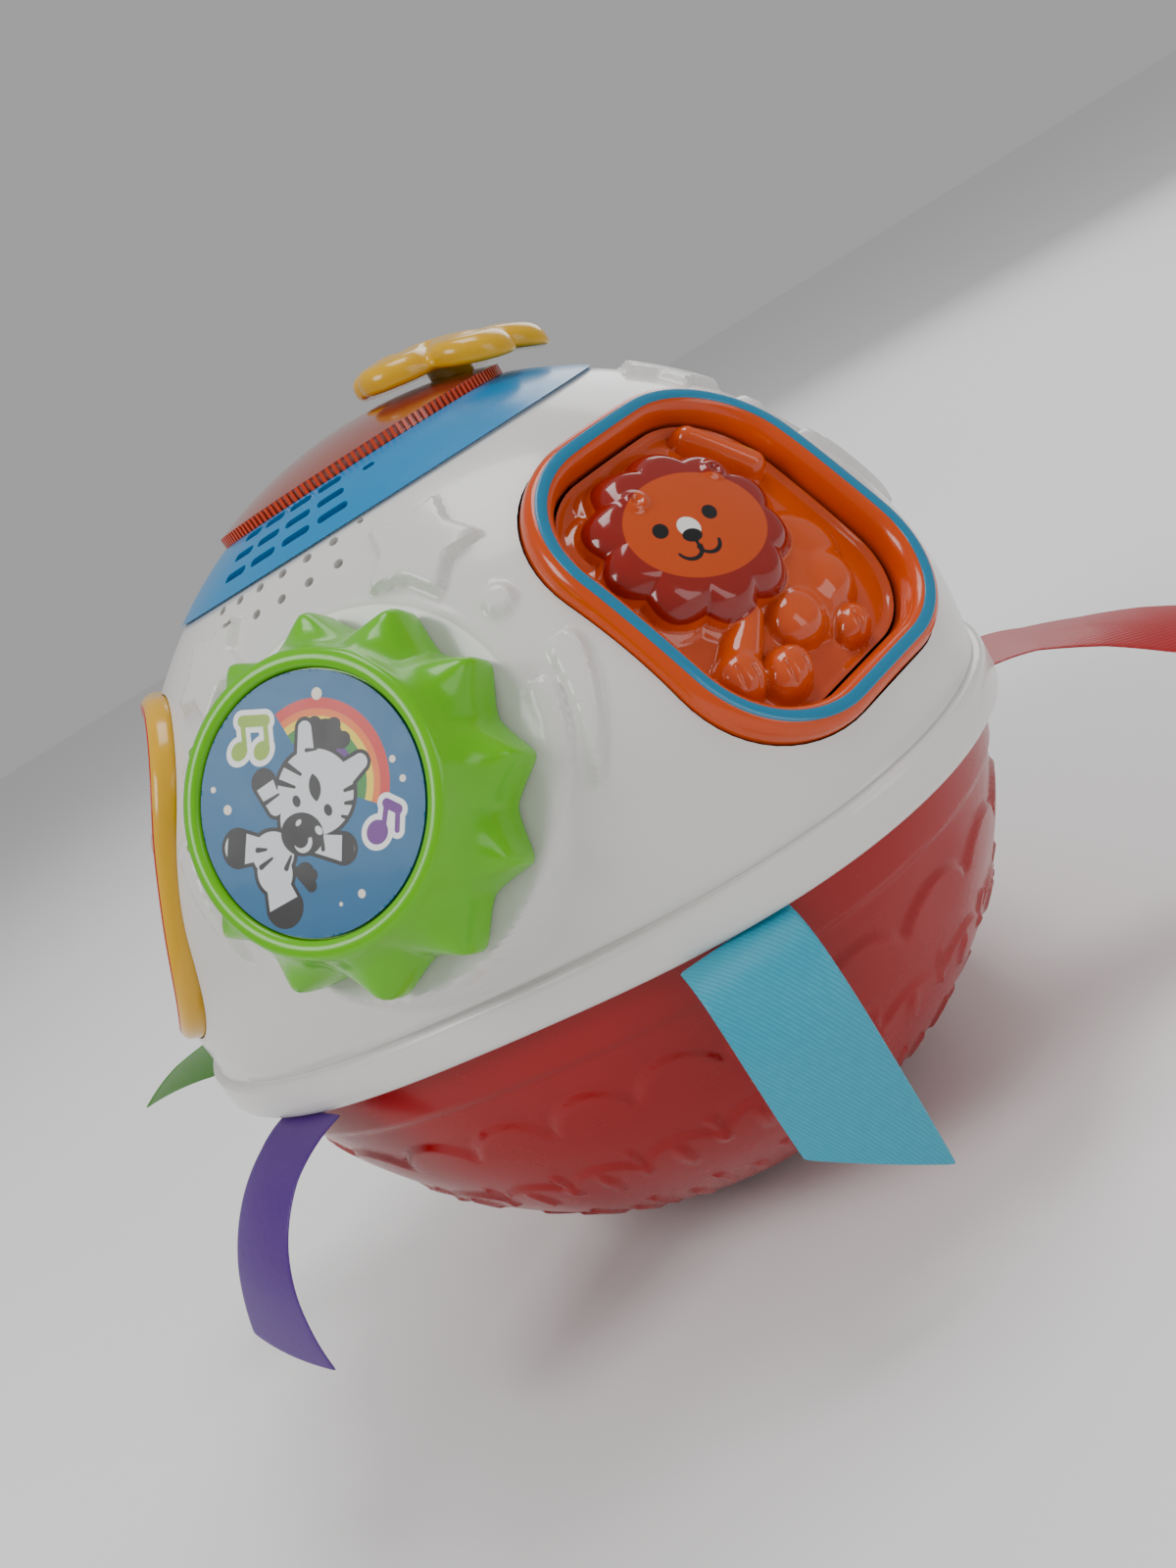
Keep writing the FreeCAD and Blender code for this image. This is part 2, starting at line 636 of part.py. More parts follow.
def light_dome():
    """A translucent cap with an upright skirt that stands on the band."""
    height = "dome_radius - band_high"
    outer = common([sphere("dome_radius"), cylinder("dome_edge", height, z=value("band_high"))])
    inner = common([sphere("dome_radius - dome_wall"),
                    cylinder("dome_edge - dome_wall", "dome_radius - band_high + 1", z=value("band_high") - 1)])
    stem_x, stem_y = flower_place()
    hole = cylinder("stem_radius + slide_gap", "40", x=stem_x, y=stem_y, z=value("band_low"))
    item = cut(outer, [inner, hole], "light_dome")
    item.Placement = FreeCAD.Placement(CENTRE, FreeCAD.Rotation())
    return item


def flower_place():
    spot = direction(value("flower_side"), 0) * value("flower_shift")
    return spot.x, spot.y


def flower_button():
    """Five rounded petals about a core, hugging the dome to one side, on an upright stem."""
    low = value("dome_radius") - 16
    stem_x, stem_y = flower_place()
    petals = [cylinder("flower_core", "30", x=stem_x, y=stem_y, z=low)]
    for step in range(5):
        spot = direction(72 * step - 28, 0) * (value("flower_radius") - value("petal_radius"))
        petals.append(cylinder("petal_radius", "30", x=stem_x + spot.x, y=stem_y + spot.y, z=low))
    outline = fused(petals)
    under = "dome_radius + flower_travel + slide_gap"
    slab = cut(sphere(under + " + flower_thick"), [sphere(under)])
    flower = common([outline, slab])
    foot = stem_foot() - value("centre_height")
    stem = cylinder("stem_radius", "dome_radius - %s + 1.5" % foot, x=stem_x, y=stem_y, z=foot)
    item = fused([flower, stem], "flower_button")
    item.Placement = FreeCAD.Placement(CENTRE, FreeCAD.Rotation())
    return item


def stem_foot():
    return value("tower_top") + value("board_thick") + value("tact_height") + value("flower_travel") + 0.3


def flower_switch():
    item = body("flower_switch")
    pad_rounded(item, "tact_side", "tact_side", "0.6", "0", "tact_height - 1.4")
    pad_round(item, "1.7", "tact_height - 1.4", "1.4")
    stem_x, stem_y = flower_place()
    item.Placement = FreeCAD.Placement(Vector(stem_x, stem_y, value("tower_top") + value("board_thick")),
                                       FreeCAD.Rotation())
    return item


# ---------------------------------------------------------------- spinner
def spinner():
    frame = face_frame(0, value("spinner_elevation"))
    knob = body("spinner_knob")
    base = "seat_distance + spinner_rise"
    pad_round(knob, "knob_radius", base, "skirt_height")
    tooth = pad_round(knob, "tooth_radius", base, "skirt_height - 1", "knob_radius - 1.3")
    patterned(knob, tooth, "tooth_count")
    pad_round(knob, "label_radius + rim_wall", base, "knob_height + label_rim")
    pocket_round(knob, "label_radius + gap", base + " + knob_height", "label_rim")
    pocket_round(knob, "label_radius", base, "knob_height - knob_wall")
    pad_round(knob, "shaft_radius + hub_wall", base, "knob_height - knob_wall + 0.5")
    pocket_round(knob, "shaft_radius", base, "knob_height - knob_wall - 0.5")
    label = body("spinner_label")
    pad_round(label, "label_radius", base + " + knob_height", "label_thick")
    shaft = body("spinner_shaft")
    foot = "seat_distance - 14"
    pad_round(shaft, "shaft_radius", foot, "14 + spinner_rise + knob_height - knob_wall - 0.5")
    pocket_round(shaft, "1.4", foot, "10")
    washer = body("spinner_washer")
    washer_base = "seat_distance - seat_wall - gap - 1.1"
    pad_round(washer, "8", washer_base, "1.1")
    pocket_round(washer, "shaft_radius", washer_base, "1.1")
    cam = body("spinner_cam")
    pad_round(cam, "cam_radius - 2.5", "seat_distance - 11.5", "4")
    lobe = pad_round(cam, "2.5", "seat_distance - 11.5", "4", "cam_radius - 2.5")
    patterned(cam, lobe, "6")
    pocket_round(cam, "shaft_radius", "seat_distance - 11.5", "4")
    screw = body("spinner_screw")
    pad_round(screw, "3.6", "seat_distance - 16", "2")
    pad_round(screw, "1.4", "seat_distance - 14", "9")
    items = [knob, label, shaft, washer, cam, screw]
    for item in items:
        item.Placement = frame
    switch = box("5", "9", "6", x=value("cam_radius") + 4.2, z=value("seat_distance") - 12.5)
    lever = box("1.2", "5", "3", x=value("cam_radius") + 1.2, z=value("seat_distance") - 11)
    leaf = fused([switch, lever], "spinner_switch")
    leaf.Placement = frame
    return items + [leaf]


# ---------------------------------------------------------------- press panels
def frame_ring(outer, inner, high, frame):
    """A rounded ring between two insets from the panel's edge, up to a height on its axis."""
    low = "panel_face - trim_depth"
    shapes = []
    for inset, reach in ((outer, "0"), (inner, "1")):
        shapes.append(prism("panel_width - 2 * ( %s )" % inset, "panel_height - 2 * ( %s )" % inset,
                            "panel_corner - ( %s )" % inset, "%s - %s" % (low, reach),
                            "%s + %s" % (high, reach), frame))
    return shapes[0].cut(shapes[1])


def crowned(drop):
    """The white form swollen to the trim's crest, less a drop."""
    return lobed_solid(upper_sections(value("trim_proud") - drop, 0.5, value("band_low")))


def trim_pieces(name, frame, crest, bed):
    """A trim ring that follows the lobe, and the stripe laid in the groove along its crest."""
    groove = frame_ring("stripe_inset", "stripe_inset + stripe_width", "panel_face + 2", frame)
    floor = frame_ring("stripe_inset", "stripe_inset + stripe_width", "panel_face - stripe_depth", frame).common(bed)
    ring = frame_ring("0", "trim_width", "panel_face", frame).common(crest).cut(groove.cut(floor))
    inlay = frame_ring("stripe_inset + 0.02", "stripe_inset + stripe_width - 0.02", "panel_face", frame)
    return [made(ring, name + "_trim"), made(inlay.common(crest).cut(floor), name + "_stripe")]


def press_button(name, ears):
    plate = body(name + "_plate")
    inset = "2 * ( trim_width + slide_gap )"
    plate_low = "panel_face - button_sink - button_plate"
    pad_rounded(plate, "panel_width - " + inset, "panel_height - " + inset,
                "panel_corner - trim_width - slide_gap", plate_low, "button_plate")
    lip_low = "panel_face - trim_depth - 0.2 - 1.4"
    lip = "2 * ( trim_width - button_lip )"
    pad_rounded(plate, "panel_width - " + lip, "panel_height - " + lip,
                "panel_corner - trim_width + button_lip", lip_low, "1.4")
    pad_rounded(plate, "panel_width - %s - 6" % inset, "panel_height - %s - 6" % inset,
                "panel_corner - trim_width - slide_gap - 3", lip_low, "%s - ( %s )" % (plate_low, lip_low))
    top = value("panel_face") - value("button_sink")
    head_y = 6.5
    lumps = [cylinder("head_radius", "head_rise", y=head_y, z=top)]
    for side in (-1, 1):
        lumps.append(cylinder(ears, "head_rise - 1", x=side * 10.5, y=head_y + 9, z=top))
        lumps.append(cylinder("4.6", "3.2", x=side * 8.5, y=-13.5, z=top))
    lumps.append(cylinder("10.5", "3.8", y=-9.5, z=top))
    room = body(name + "_room")
    pad_rounded(room, "panel_width - %s - 2" % inset, "panel_height - %s - 2" % inset,
                "panel_corner - trim_width - slide_gap - 1", "panel_face - button_sink", "head_rise + 1")
    button = fused([plate, common([fused(lumps), room])], name + "_button")
    face = body(name + "_face")
    pad_round(face, "face_radius", "panel_face - button_sink + head_rise", "face_thick", "0", "6.5")
    pad = body(name + "_pad")
    pad_round(pad, "pad_radius", lip_low + " - pad_height", "pad_height")
    return [button, face, pad]


def animal_switch(name):
    switch = body(name + "_switch")
    top = "panel_face - trim_depth - 1.6 - pad_height - button_travel - 0.3"
    pad_rounded(switch, "14", "14", "1", top + " - tact_height", "board_thick")
    pad_rounded(switch, "tact_side", "tact_side", "0.6", top + " - tact_height + board_thick",
                "tact_height - board_thick - 1.2")
    pad_round(switch, "1.7", top + " - 1.2", "1.2")
    return switch


# ---------------------------------------------------------------- ribbons
def ribbon_start(azimuth):
    """Just outside the red wall over the ribbon's whole width."""
    waist = math.sqrt(value("lower_radius") ** 2 - value("parting_drop") ** 2)
    reach = math.degrees(math.asin(value("ribbon_width") / 2 / waist))
    return max(lobed_radius(waist, 1, azimuth + side * reach) for side in (-1, 1)) + 0.3


def ribbon(name, azimuth, droop):
    """A flat strip: a level root under the flange, then a straight fall at its own angle."""
    thick = value("ribbon_thick")
    root_height = PARTING - value("gap") - thick
    start = ribbon_start(azimuth)
    level = box("ribbon_width", "ribbon_root", "ribbon_thick", y=-start - value("ribbon_root") / 2, z=root_height)
    fall = document.addObject("Part::Box", "Fall")
    bind(fall, Length="ribbon_width", Width="ribbon_length", Height="ribbon_thick")
    turn = FreeCAD.Rotation(Vector(1, 0, 0), 180 + droop)
    fall.Placement = FreeCAD.Placement(Vector(-value("ribbon_width") / 2, -start - value("ribbon_root") + 0.01,
                                              root_height + thick), turn)
    item = fused([level, fall], name)
    item.Placement = FreeCAD.Placement(Vector(0, 0, 0), FreeCAD.Rotation(Vector(0, 0, 1), azimuth))
    return item


# ---------------------------------------------------------------- power
def battery_door():
    """The bottom cap: it carries the resting flat and closes the battery box."""
    cap = common([sphere("lower_radius", value("centre_height")), cylinder("lower_radius", "door_height")])
    recess = cylinder("%s - door_rim" % door_radius(), "door_height", z=value("door_floor"))
    place = value("door_screw_place")
    screw_well = cylinder("door_screw_head + 0.3", "3", y=place, z=-2)
    screw_hole = cylinder("door_screw_radius + 0.25", "20", y=place, z=-2)
    boss = cylinder("door_boss", "door_height - 1", y=place, z=0.9)
    hollow = cut(cap, [recess])
    inside = common([sphere("lower_radius", value("centre_height")), boss])
    return cut(fused([hollow, inside]), [screw_well, screw_hole], "battery_door")


def battery_parts():
    base = value("door_height") + value("ring_height")
    height = "2 * cell_radius + 2.4"
    inner_l = "cell_length + 3"
    inner_w = "2 * cell_pitch + 2 * cell_radius + 0.8"
    outer = box(inner_l + " + 2 * box_wall", inner_w + " + 2 * box_wall", height + " + box_wall", z=base)
    cavity = box(inner_l, inner_w, height, z=base)
    casing = cut(outer, [cavity], "battery_box")
    cells = []
    for number, side in enumerate((-1, 0, 1), start=1):
        cell = body("battery_cell_%d" % number)
        pad_round(cell, "cell_radius", "0", "cell_length - 1")
        pad_round(cell, "1.9", "cell_length - 1", "1")
        cell.Placement = frame_along_x(-value("cell_length") / 2, side * value("cell_pitch"),
                                       base + value("cell_radius") + 1.6)
        cells.append(cell)
    contacts = []
    half = (value("cell_length") + 3) / 2
    for side in (-1, 1):
        contacts.append(box("0.5", "2 * cell_pitch + 8", "8", x=side * (half - 0.3), z=base + 2.5))
    strips = fused(contacts, "battery_contacts")
    place = value("door_screw_place")
    screw = fused([cylinder("door_screw_head", "1", y=place),
                   cylinder("door_screw_radius", "door_screw_length", y=place, z=1)], "door_screw")
    return [casing, strips, screw] + cells


# ---------------------------------------------------------------- drive
def gear_shape(teeth, bore, width):
    """Straight teeth with slim flanks, so that the pair runs with backlash."""
    module = value("gear_module")
    pitch_radius = module * teeth / 2
    corners = []
    for tooth in range(teeth):
        for share, radius in ((-0.27, pitch_radius - 1.15 * module), (-0.13, pitch_radius + 0.75 * module),
                              (0.13, pitch_radius + 0.75 * module), (0.27, pitch_radius - 1.15 * module)):
            angle = 2 * math.pi * (tooth + share) / teeth
            corners.append(Vector(radius * math.cos(angle), radius * math.sin(angle), 0))
    blank = Part.Face(Part.makePolygon(corners + corners[:1])).extrude(Vector(0, 0, width))
    return blank.cut(Part.makeCylinder(bore, width * 3, Vector(0, 0, -width)))


def drive_parts():
    height = value("axle_height")
    width = value("gear_width")
    gear_x = value("wall_reach") - 1.2 - width
    reach = value("gear_module") * (value("gear_teeth") + value("pinion_teeth")) / 2 + value("mesh_gap")
    gear = made(gear_shape(int(value("gear_teeth")), value("axle_radius"), width), "drive_gear")
    gear.Placement = frame_along_x(gear_x, 0, height)
    pinion = made(gear_shape(int(value("pinion_teeth")), 1.0, width), "motor_pinion")
    half_tooth = 180.0 / value("pinion_teeth")
    pinion.Placement = frame_along_x(gear_x, reach, height).multiply(
        FreeCAD.Placement(Vector(0, 0, 0), FreeCAD.Rotation(Vector(0, 0, 1), -90 + half_tooth)))
    gear.Placement = frame_along_x(gear_x, 0, height).multiply(
        FreeCAD.Placement(Vector(0, 0, 0), FreeCAD.Rotation(Vector(0, 0, 1), 90)))
    axle = body("weight_axle")
    pad_round(axle, "axle_radius", "0", "2 * wall_reach + 2 * frame_wall")
    axle.Placement = frame_along_x(-value("wall_reach") - value("frame_wall"), 0, height)
    disc = cylinder("weight_radius", "weight_width")
    upper_half = box("2 * weight_radius + 2", "weight_radius + 2", "weight_width + 2",
                     y=value("weight_radius") / 2 + 1 + 4.0, z=-1)
    weight = cut(disc, [upper_half, cylinder("axle_radius", "40", z=-10)], "eccentric_weight")
    weight.Placement = FreeCAD.Placement(Vector(-value("weight_width") + 2, 0, height),
                                         FreeCAD.Rotation(Vector(0, 1, 0), Vector(0, 0, 1), Vector(1, 0, 0), "ZXY"))
    wall_out = value("wall_reach") + value("frame_wall")
    can = body("motor")
    pad_round(can, "motor_radius", "0", "motor_length")
    can.Placement = frame_along_x(wall_out + 0.1, reach, height)
    spindle = body("motor_spindle")
    pad_round(spindle, "1.0", "0", "gear_width + 1.2 + frame_wall")
    spindle.Placement = frame_along_x(gear_x, reach, height)
    return [gear, pinion, axle, weight, can, spindle], reach


def chassis(reach):
    """A plate between the shells with two bearing walls and the motor's mounting wall."""
    disc = cylinder("chassis_radius", "frame_wall", z=value("chassis_base"))
    lugs = []
    holes = []
    for azimuth in POST_AZIMUTHS:
        x, y = post_place(azimuth)
        lugs.append(cylinder("post_radius + 2", "frame_wall", x=x, y=y, z=value("chassis_base")))
        holes.append(cylinder("screw_radius + gap", "20", x=x, y=y, z=value("chassis_base") - 5))
    wall_x = value("wall_reach") + value("frame_wall") / 2
    depth = value("chassis_base") - value("axle_height") + 6
    base = value("axle_height") - 6
    left = box("frame_wall", "14", "%s" % (depth + 0.5), x=-wall_x, z=base)
    right = box("frame_wall", "%s" % (reach + 19), "%s" % (depth + 0.5), x=wall_x, y=(reach + 5) / 2, z=base)
    bore = cylinder("axle_radius + running_fit", "90", x=-45, z=value("axle_height"), axis=Vector(0, 1, 0), angle=90)
    shaft_bore = cylinder("1.8", "60", y=reach, z=value("axle_height"), axis=Vector(0, 1, 0), angle=90)
    return cut(fused([disc, left, right] + lugs), [bore, shaft_bore] + holes, "chassis")


# ---------------------------------------------------------------- electronics
def electronics():
    top = chassis_top()
    tower = cut(cylinder("tower_radius", "tower_top - chassis_base - frame_wall", z=top),
                [cylinder("tower_radius - 2", "tower_top - chassis_base - frame_wall - 2", z=top),
                 box("10", "40", "12", z=top + 20)], "light_tower")
    main_board = box("56", "26", "board_thick", y=31, z=top + 3)
    standoffs = [cylinder("2", "3", x=side * 24, y=31, z=top) for side in (-1, 1)]
    chips = box("12", "12", "1.8", x=4, y=31, z=top + 3 + value("board_thick"))
    board = fused([main_board, chips] + standoffs, "main_board")
    light_board = body("light_board")
    pad_round(light_board, "light_board_radius", "tower_top", "board_thick")
    leds = []
    for step in range(6):
        spot = direction(60 * step, 0) * 17
        level = value("tower_top") + value("board_thick")
        leds.append(cylinder("2.5", "3", x=spot.x, y=spot.y, z=level))
        leds.append(moved(sphere("2.5"), spot.x, spot.y, level + 3))
    lights = fused(leds, "light_leds")
    speaker = body("speaker")
    pad_round(speaker, "speaker_radius * 0.6", "0", "speaker_depth / 2")
    pad_round(speaker, "speaker_radius", "speaker_depth / 2", "speaker_depth / 2")
    pocket_round(speaker, "speaker_radius - 2.5", "speaker_depth - 1.5", "1.5")
    speaker.Placement = FreeCAD.Placement(Vector(0, -29, value("tower_top") - 18), FreeCAD.Rotation(Vector(1, 0, 0), 12))
    ring = body("speaker_bracket")
    pad_round(ring, "speaker_radius + 2", "speaker_depth / 2 - 1.8", "1.6")
    pocket_round(ring, "speaker_radius * 0.6 + gap", "speaker_depth / 2 - 1.8", "1.6")
    ring.Placement = speaker.Placement
    return [tower, board, light_board, lights, speaker, ring]


def mode_switch():
    frame = face_frame(180, band_elevation("mode_rise"))
    knob = box("mode_length", "mode_width", "band_wall + 2.6", z=value("band_radius") - value("band_wall") - 1.6)
    flange = box("mode_length + 2 * mode_travel + 3", "mode_width + 1.4", "1.0",
                 z=value("band_radius") - value("band_wall") - 2.4)
    slider = fused([knob, flange], "mode_knob")
    slider.Placement = frame
    casing = box("20", "5", "4", z=value("band_radius") - value("band_wall") - 6.8)
    casing.Label = "mode_switch"
    casing.Placement = frame.multiply(casing.Placement)
    return [slider, casing]


def shell_screws():
    items = []
    for azimuth in POST_AZIMUTHS:
        x, y = post_place(azimuth)
        floor = value("chassis_base") - value("screw_depth")
        items.append(cylinder("screw_head", "screw_cap", x=x, y=y, z=floor - value("screw_cap")))
        items.append(cylinder("screw_radius - gap", "screw_length", x=x, y=y, z=floor))
    return fused(items, "shell_screws")


def build():
    parts = [upper_shell(), lower_shell(), top_band(), light_dome(), flower_button(), flower_switch()]
    parts += spinner()
    crest, bed = crowned(0), crowned(value("stripe_depth"))
    for name, ears in (("lion", "3.6"), ("elephant", "5.6"), ("monkey", "4.4")):
        frame = face_frame(PANEL_AZIMUTHS[name], value("panel_elevation"))
        parts += trim_pieces(name, frame, crest, bed)
        items = press_button(name, ears) + [animal_switch(name)]
        for item in items:
            item.Placement = frame
        parts += items
    for name, azimuth, droop in (("aqua", 28, 84), ("red", 90, 33), ("orange", 150, 60), ("yellow", -150, 60),
                                 ("green", -90, 8), ("purple", -34, 57)):
        parts.append(ribbon("ribbon_" + name, azimuth, droop))
    parts.append(battery_door())
    parts += battery_parts()
    moving, reach = drive_parts()
    parts += moving
    parts.append(chassis(reach))
    parts += electronics()
    parts += mode_switch()
    parts.append(shell_screws())
    return parts


subparts = build()
document.recompute()
for item in document.Objects:
    if "Invalid" in item.State or "Error" in item.State:
        raise ValueError("%s did not recompute: %s" % (item.Label, item.State))
for item in subparts:
    if item.Shape.isNull() or not item.Shape.isValid():
        raise ValueError("%s has no valid shape" % item.Label)
os.makedirs("parts", exist_ok=True)
for item in subparts:
    item.Shape.exportStep(os.path.join("parts", item.Label + ".step"))
    print("%-20s %10.1f mm3  solids %d" % (item.Label, item.Shape.Volume, len(item.Shape.Solids)))
print(len(subparts), "sub-parts")
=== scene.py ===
import math
import bpy
import bmesh
import numpy as np
from mathutils import Matrix, Vector


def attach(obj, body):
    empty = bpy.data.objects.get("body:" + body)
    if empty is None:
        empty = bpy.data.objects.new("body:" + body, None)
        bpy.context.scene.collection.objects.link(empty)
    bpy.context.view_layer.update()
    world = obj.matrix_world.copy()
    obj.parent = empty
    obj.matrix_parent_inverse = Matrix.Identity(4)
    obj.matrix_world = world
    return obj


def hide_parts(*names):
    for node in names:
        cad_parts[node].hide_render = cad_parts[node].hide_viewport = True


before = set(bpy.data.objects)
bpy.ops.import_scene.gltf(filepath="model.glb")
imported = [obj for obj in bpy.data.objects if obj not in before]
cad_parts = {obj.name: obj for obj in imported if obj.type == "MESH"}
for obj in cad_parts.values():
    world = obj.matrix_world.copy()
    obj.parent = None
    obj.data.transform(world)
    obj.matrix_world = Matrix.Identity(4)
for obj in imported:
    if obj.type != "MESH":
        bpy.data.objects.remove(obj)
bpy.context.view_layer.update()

# ------------------------------------------------------------------ studio and camera
# A low viewpoint in front of the lion side, close to the ball, with the ball's axis
# leaning to the left of the picture. The floor and the soft boxes are all pale.
MM = 0.001
CENTRE_HEIGHT = 74.6
WAIST_DROP = 7.3
BALL_CENTRE = Vector((0, 0, CENTRE_HEIGHT)) * MM
WAIST = Vector((0, 0, CENTRE_HEIGHT - WAIST_DROP)) * MM
view_azimuth = math.radians(22.4)
view_rise = math.radians(16.94)
view_distance = 272.6 * MM
view_lean = math.radians(-32.73)
aim_right = 0.0117
aim_down = 0.0360

toward = Vector((math.sin(view_azimuth) * math.cos(view_rise),
                 -math.cos(view_azimuth) * math.cos(view_rise), math.sin(view_rise)))
eye = WAIST + toward * view_distance
ahead = -toward
right = ahead.cross(Vector((0, 0, 1))).normalized()
down = ahead.cross(right)
rolled_right = right * math.cos(view_lean) - down * math.sin(view_lean)
rolled_down = right * math.sin(view_lean) + down * math.cos(view_lean)
ahead = (ahead - rolled_right * aim_right - rolled_down * aim_down).normalized()
rolled_right = (rolled_right - ahead * rolled_right.dot(ahead)).normalized()
rolled_down = ahead.cross(rolled_right)
camera_data = bpy.data.cameras.new("camera")
camera_data.sensor_width = 36
camera_data.lens = 31.23
camera_data.clip_start = 0.01
camera = bpy.data.objects.new("camera", camera_data)
axes = Matrix((rolled_right, -rolled_down, -ahead)).transposed()
camera.matrix_world = Matrix.Translation(eye) @ axes.to_4x4()
bpy.context.collection.objects.link(camera)
bpy.context.scene.camera = camera


def soft_box(name, place, size, power, tint=(1, 1, 1)):
    data = bpy.data.lights.new(name, "AREA")
    data.shape = "RECTANGLE"
    data.size, data.size_y = size
    data.energy = power
    data.color = tint
    lamp = bpy.data.objects.new(name, data)
    lamp.location = place
    lamp.rotation_euler = (BALL_CENTRE - Vector(place)).to_track_quat("-Z", "Y").to_euler()
    bpy.context.collection.objects.link(lamp)


soft_box("key_light", (-0.55, -0.75, 0.95), (0.5, 0.5), 7.6)
soft_box("window_light", (0.25, 0.15, 1.05), (0.5, 0.4), 4.4)
soft_box("fill_light", (0.95, -0.45, 0.35), (0.45, 0.6), 2.0)
soft_box("back_light", (0.2, 1.0, 0.6), (0.6, 0.6), 3.0)

world = bpy.data.worlds.new("studio")
world.use_nodes = True
world.node_tree.nodes["Background"].inputs["Color"].default_value = (1, 1, 1, 1)
world.node_tree.nodes["Background"].inputs["Strength"].default_value = 0.40
bpy.context.scene.world = world


def set_inputs(node, numbers):
    for socket, number in numbers.items():
        node.inputs[socket].default_value = number


def start_finish(name, **numbers):
    """A new finish: it, its shader with plain numbers set, and short ways to add and tie nodes."""
    finish = bpy.data.materials.new(name)
    finish.use_nodes = True
    shader = finish.node_tree.nodes["Principled BSDF"]
    set_inputs(shader, {socket.replace("_", " "): number for socket, number in numbers.items()})

    def add(kind, vector=None, **settings):
        node = finish.node_tree.nodes.new("ShaderNode" + kind)
        set_inputs(node, {socket.replace("_", " "): number for socket, number in settings.items()})
        if vector is not None:
            finish.node_tree.links.new(vector, node.inputs["Vector"])
        return node

    def two_tones(factor, first, second):
        mix = finish.node_tree.nodes.new("ShaderNodeMix")
        mix.data_type = "RGBA"
        set_inputs(mix, {"A": (*first, 1), "B": (*second, 1)})
        finish.node_tree.links.new(factor, mix.inputs["Factor"])
        return mix

    def gloss_between(factor, low, high):
        gloss = add("MapRange", To_Min=low, To_Max=high)
        finish.node_tree.links.new(factor, gloss.inputs["Value"])
        finish.node_tree.links.new(gloss.outputs["Result"], shader.inputs["Roughness"])

    return finish, shader, add, two_tones, gloss_between, finish.node_tree.links.new


def shaded(colour, share):
    return tuple(channel * share for channel in colour)


floor_mesh = bpy.data.meshes.new("floor")
floor_mesh.from_pydata([(-4, -4, 0), (4, -4, 0), (4, 4, 0), (-4, 4, 0)], [], [(0, 1, 2, 3)])
floor = bpy.data.objects.new("floor", floor_mesh)
floor.location.z = -0.0003
floor_mesh.materials.append(start_finish("floor_paper", Base_Color=(0.9, 0.9, 0.9, 1), Roughness=0.9)[0])
bpy.context.collection.objects.link(floor)


# ------------------------------------------------------------------ white upper shell
# The upper half is one injection-moulded ABS shell on a soft three-lobed plan, with a
# rolled rim flange, a flat land for the spinner and raised stars, dots and comets. The
# mesh follows the mould: rings of the lobed form, pushed out where the mould is engraved.
UPPER_RADIUS = 82.8
LOWER_RADIUS = 77.0
SHELL_WALL = 2.4
LOBE = 0.087
PINCH = 3.6
PINCH_HEIGHT = 36.0
BAND_LOW = 70.5
BAND_HIGH = 77.7
SPINNER_RISE = 27.0
LAND = 77.5
PANELS = {"lion": (57.5, 27.5), "elephant": (180.0, 27.5), "monkey": (-57.5, 27.5)}


def smooth(low, high, value):
    share = np.clip((np.asarray(value, float) - low) / (high - low), 0, 1)
    return share * share * (3 - 2 * share)


def face_axes(azimuth, elevation):
    """Right, up and out axes of a face of the ball, as arrays."""
    turn, rise = math.radians(azimuth), math.radians(elevation)
    out = np.array([math.sin(turn) * math.cos(rise), -math.cos(turn) * math.cos(rise), math.sin(rise)])
    along = np.array([math.cos(turn), math.sin(turn), 0.0])
    return along, np.cross(out, along), out


def lobed(radius, share, turn):
    return radius * (1 - LOBE * share * np.cos(3 * turn))


def upper_reach(height, turn, offset=0.0):
    """Plan radius of the white form at a height above the ball centre, in millimetres."""
    share = np.clip((height + WAIST_DROP) / (BAND_LOW + WAIST_DROP), 0, 1)
    pinch = PINCH * np.clip(1 - height / PINCH_HEIGHT, 0, 2) ** 2
    reach = np.sqrt(np.maximum((UPPER_RADIUS + offset) ** 2 - height ** 2, 1)) - pinch
    return lobed(reach, (1 - share) ** 1.5, turn)


def ring_points(reach, height, turn):
    return np.stack([reach * np.sin(turn), -reach * np.cos(turn), height + 0 * turn], axis=-1)


def skin_mesh(name, points, loop_rows=True, loop_columns=True):
    """A quad mesh over a grid of points given in millimetres from the ball centre."""
    rows, columns = points.shape[:2]
    index = np.arange(rows * columns).reshape(rows, columns)
    row_next = np.roll(index, -1, axis=0)
    column_next = np.roll(index, -1, axis=1)
    corner = np.roll(row_next, -1, axis=1)
    quads = np.stack([index, column_next, corner, row_next], axis=-1)
    quads = quads[: rows if loop_rows else rows - 1, : columns if loop_columns else columns - 1]
    mesh = bpy.data.meshes.new(name)
    place = points.reshape(-1, 3) * MM + np.array(BALL_CENTRE)
    mesh.from_pydata(place.tolist(), [], quads.reshape(-1, 4).tolist())
    mesh.shade_smooth()
    return mesh


def add_piece(name, mesh, finish):
    piece = bpy.data.objects.new(name, mesh)
    mesh.materials.clear()
    for material in finish if isinstance(finish, (list, tuple)) else [finish]:
        mesh.materials.append(material)
    bpy.context.collection.objects.link(piece)
    return piece


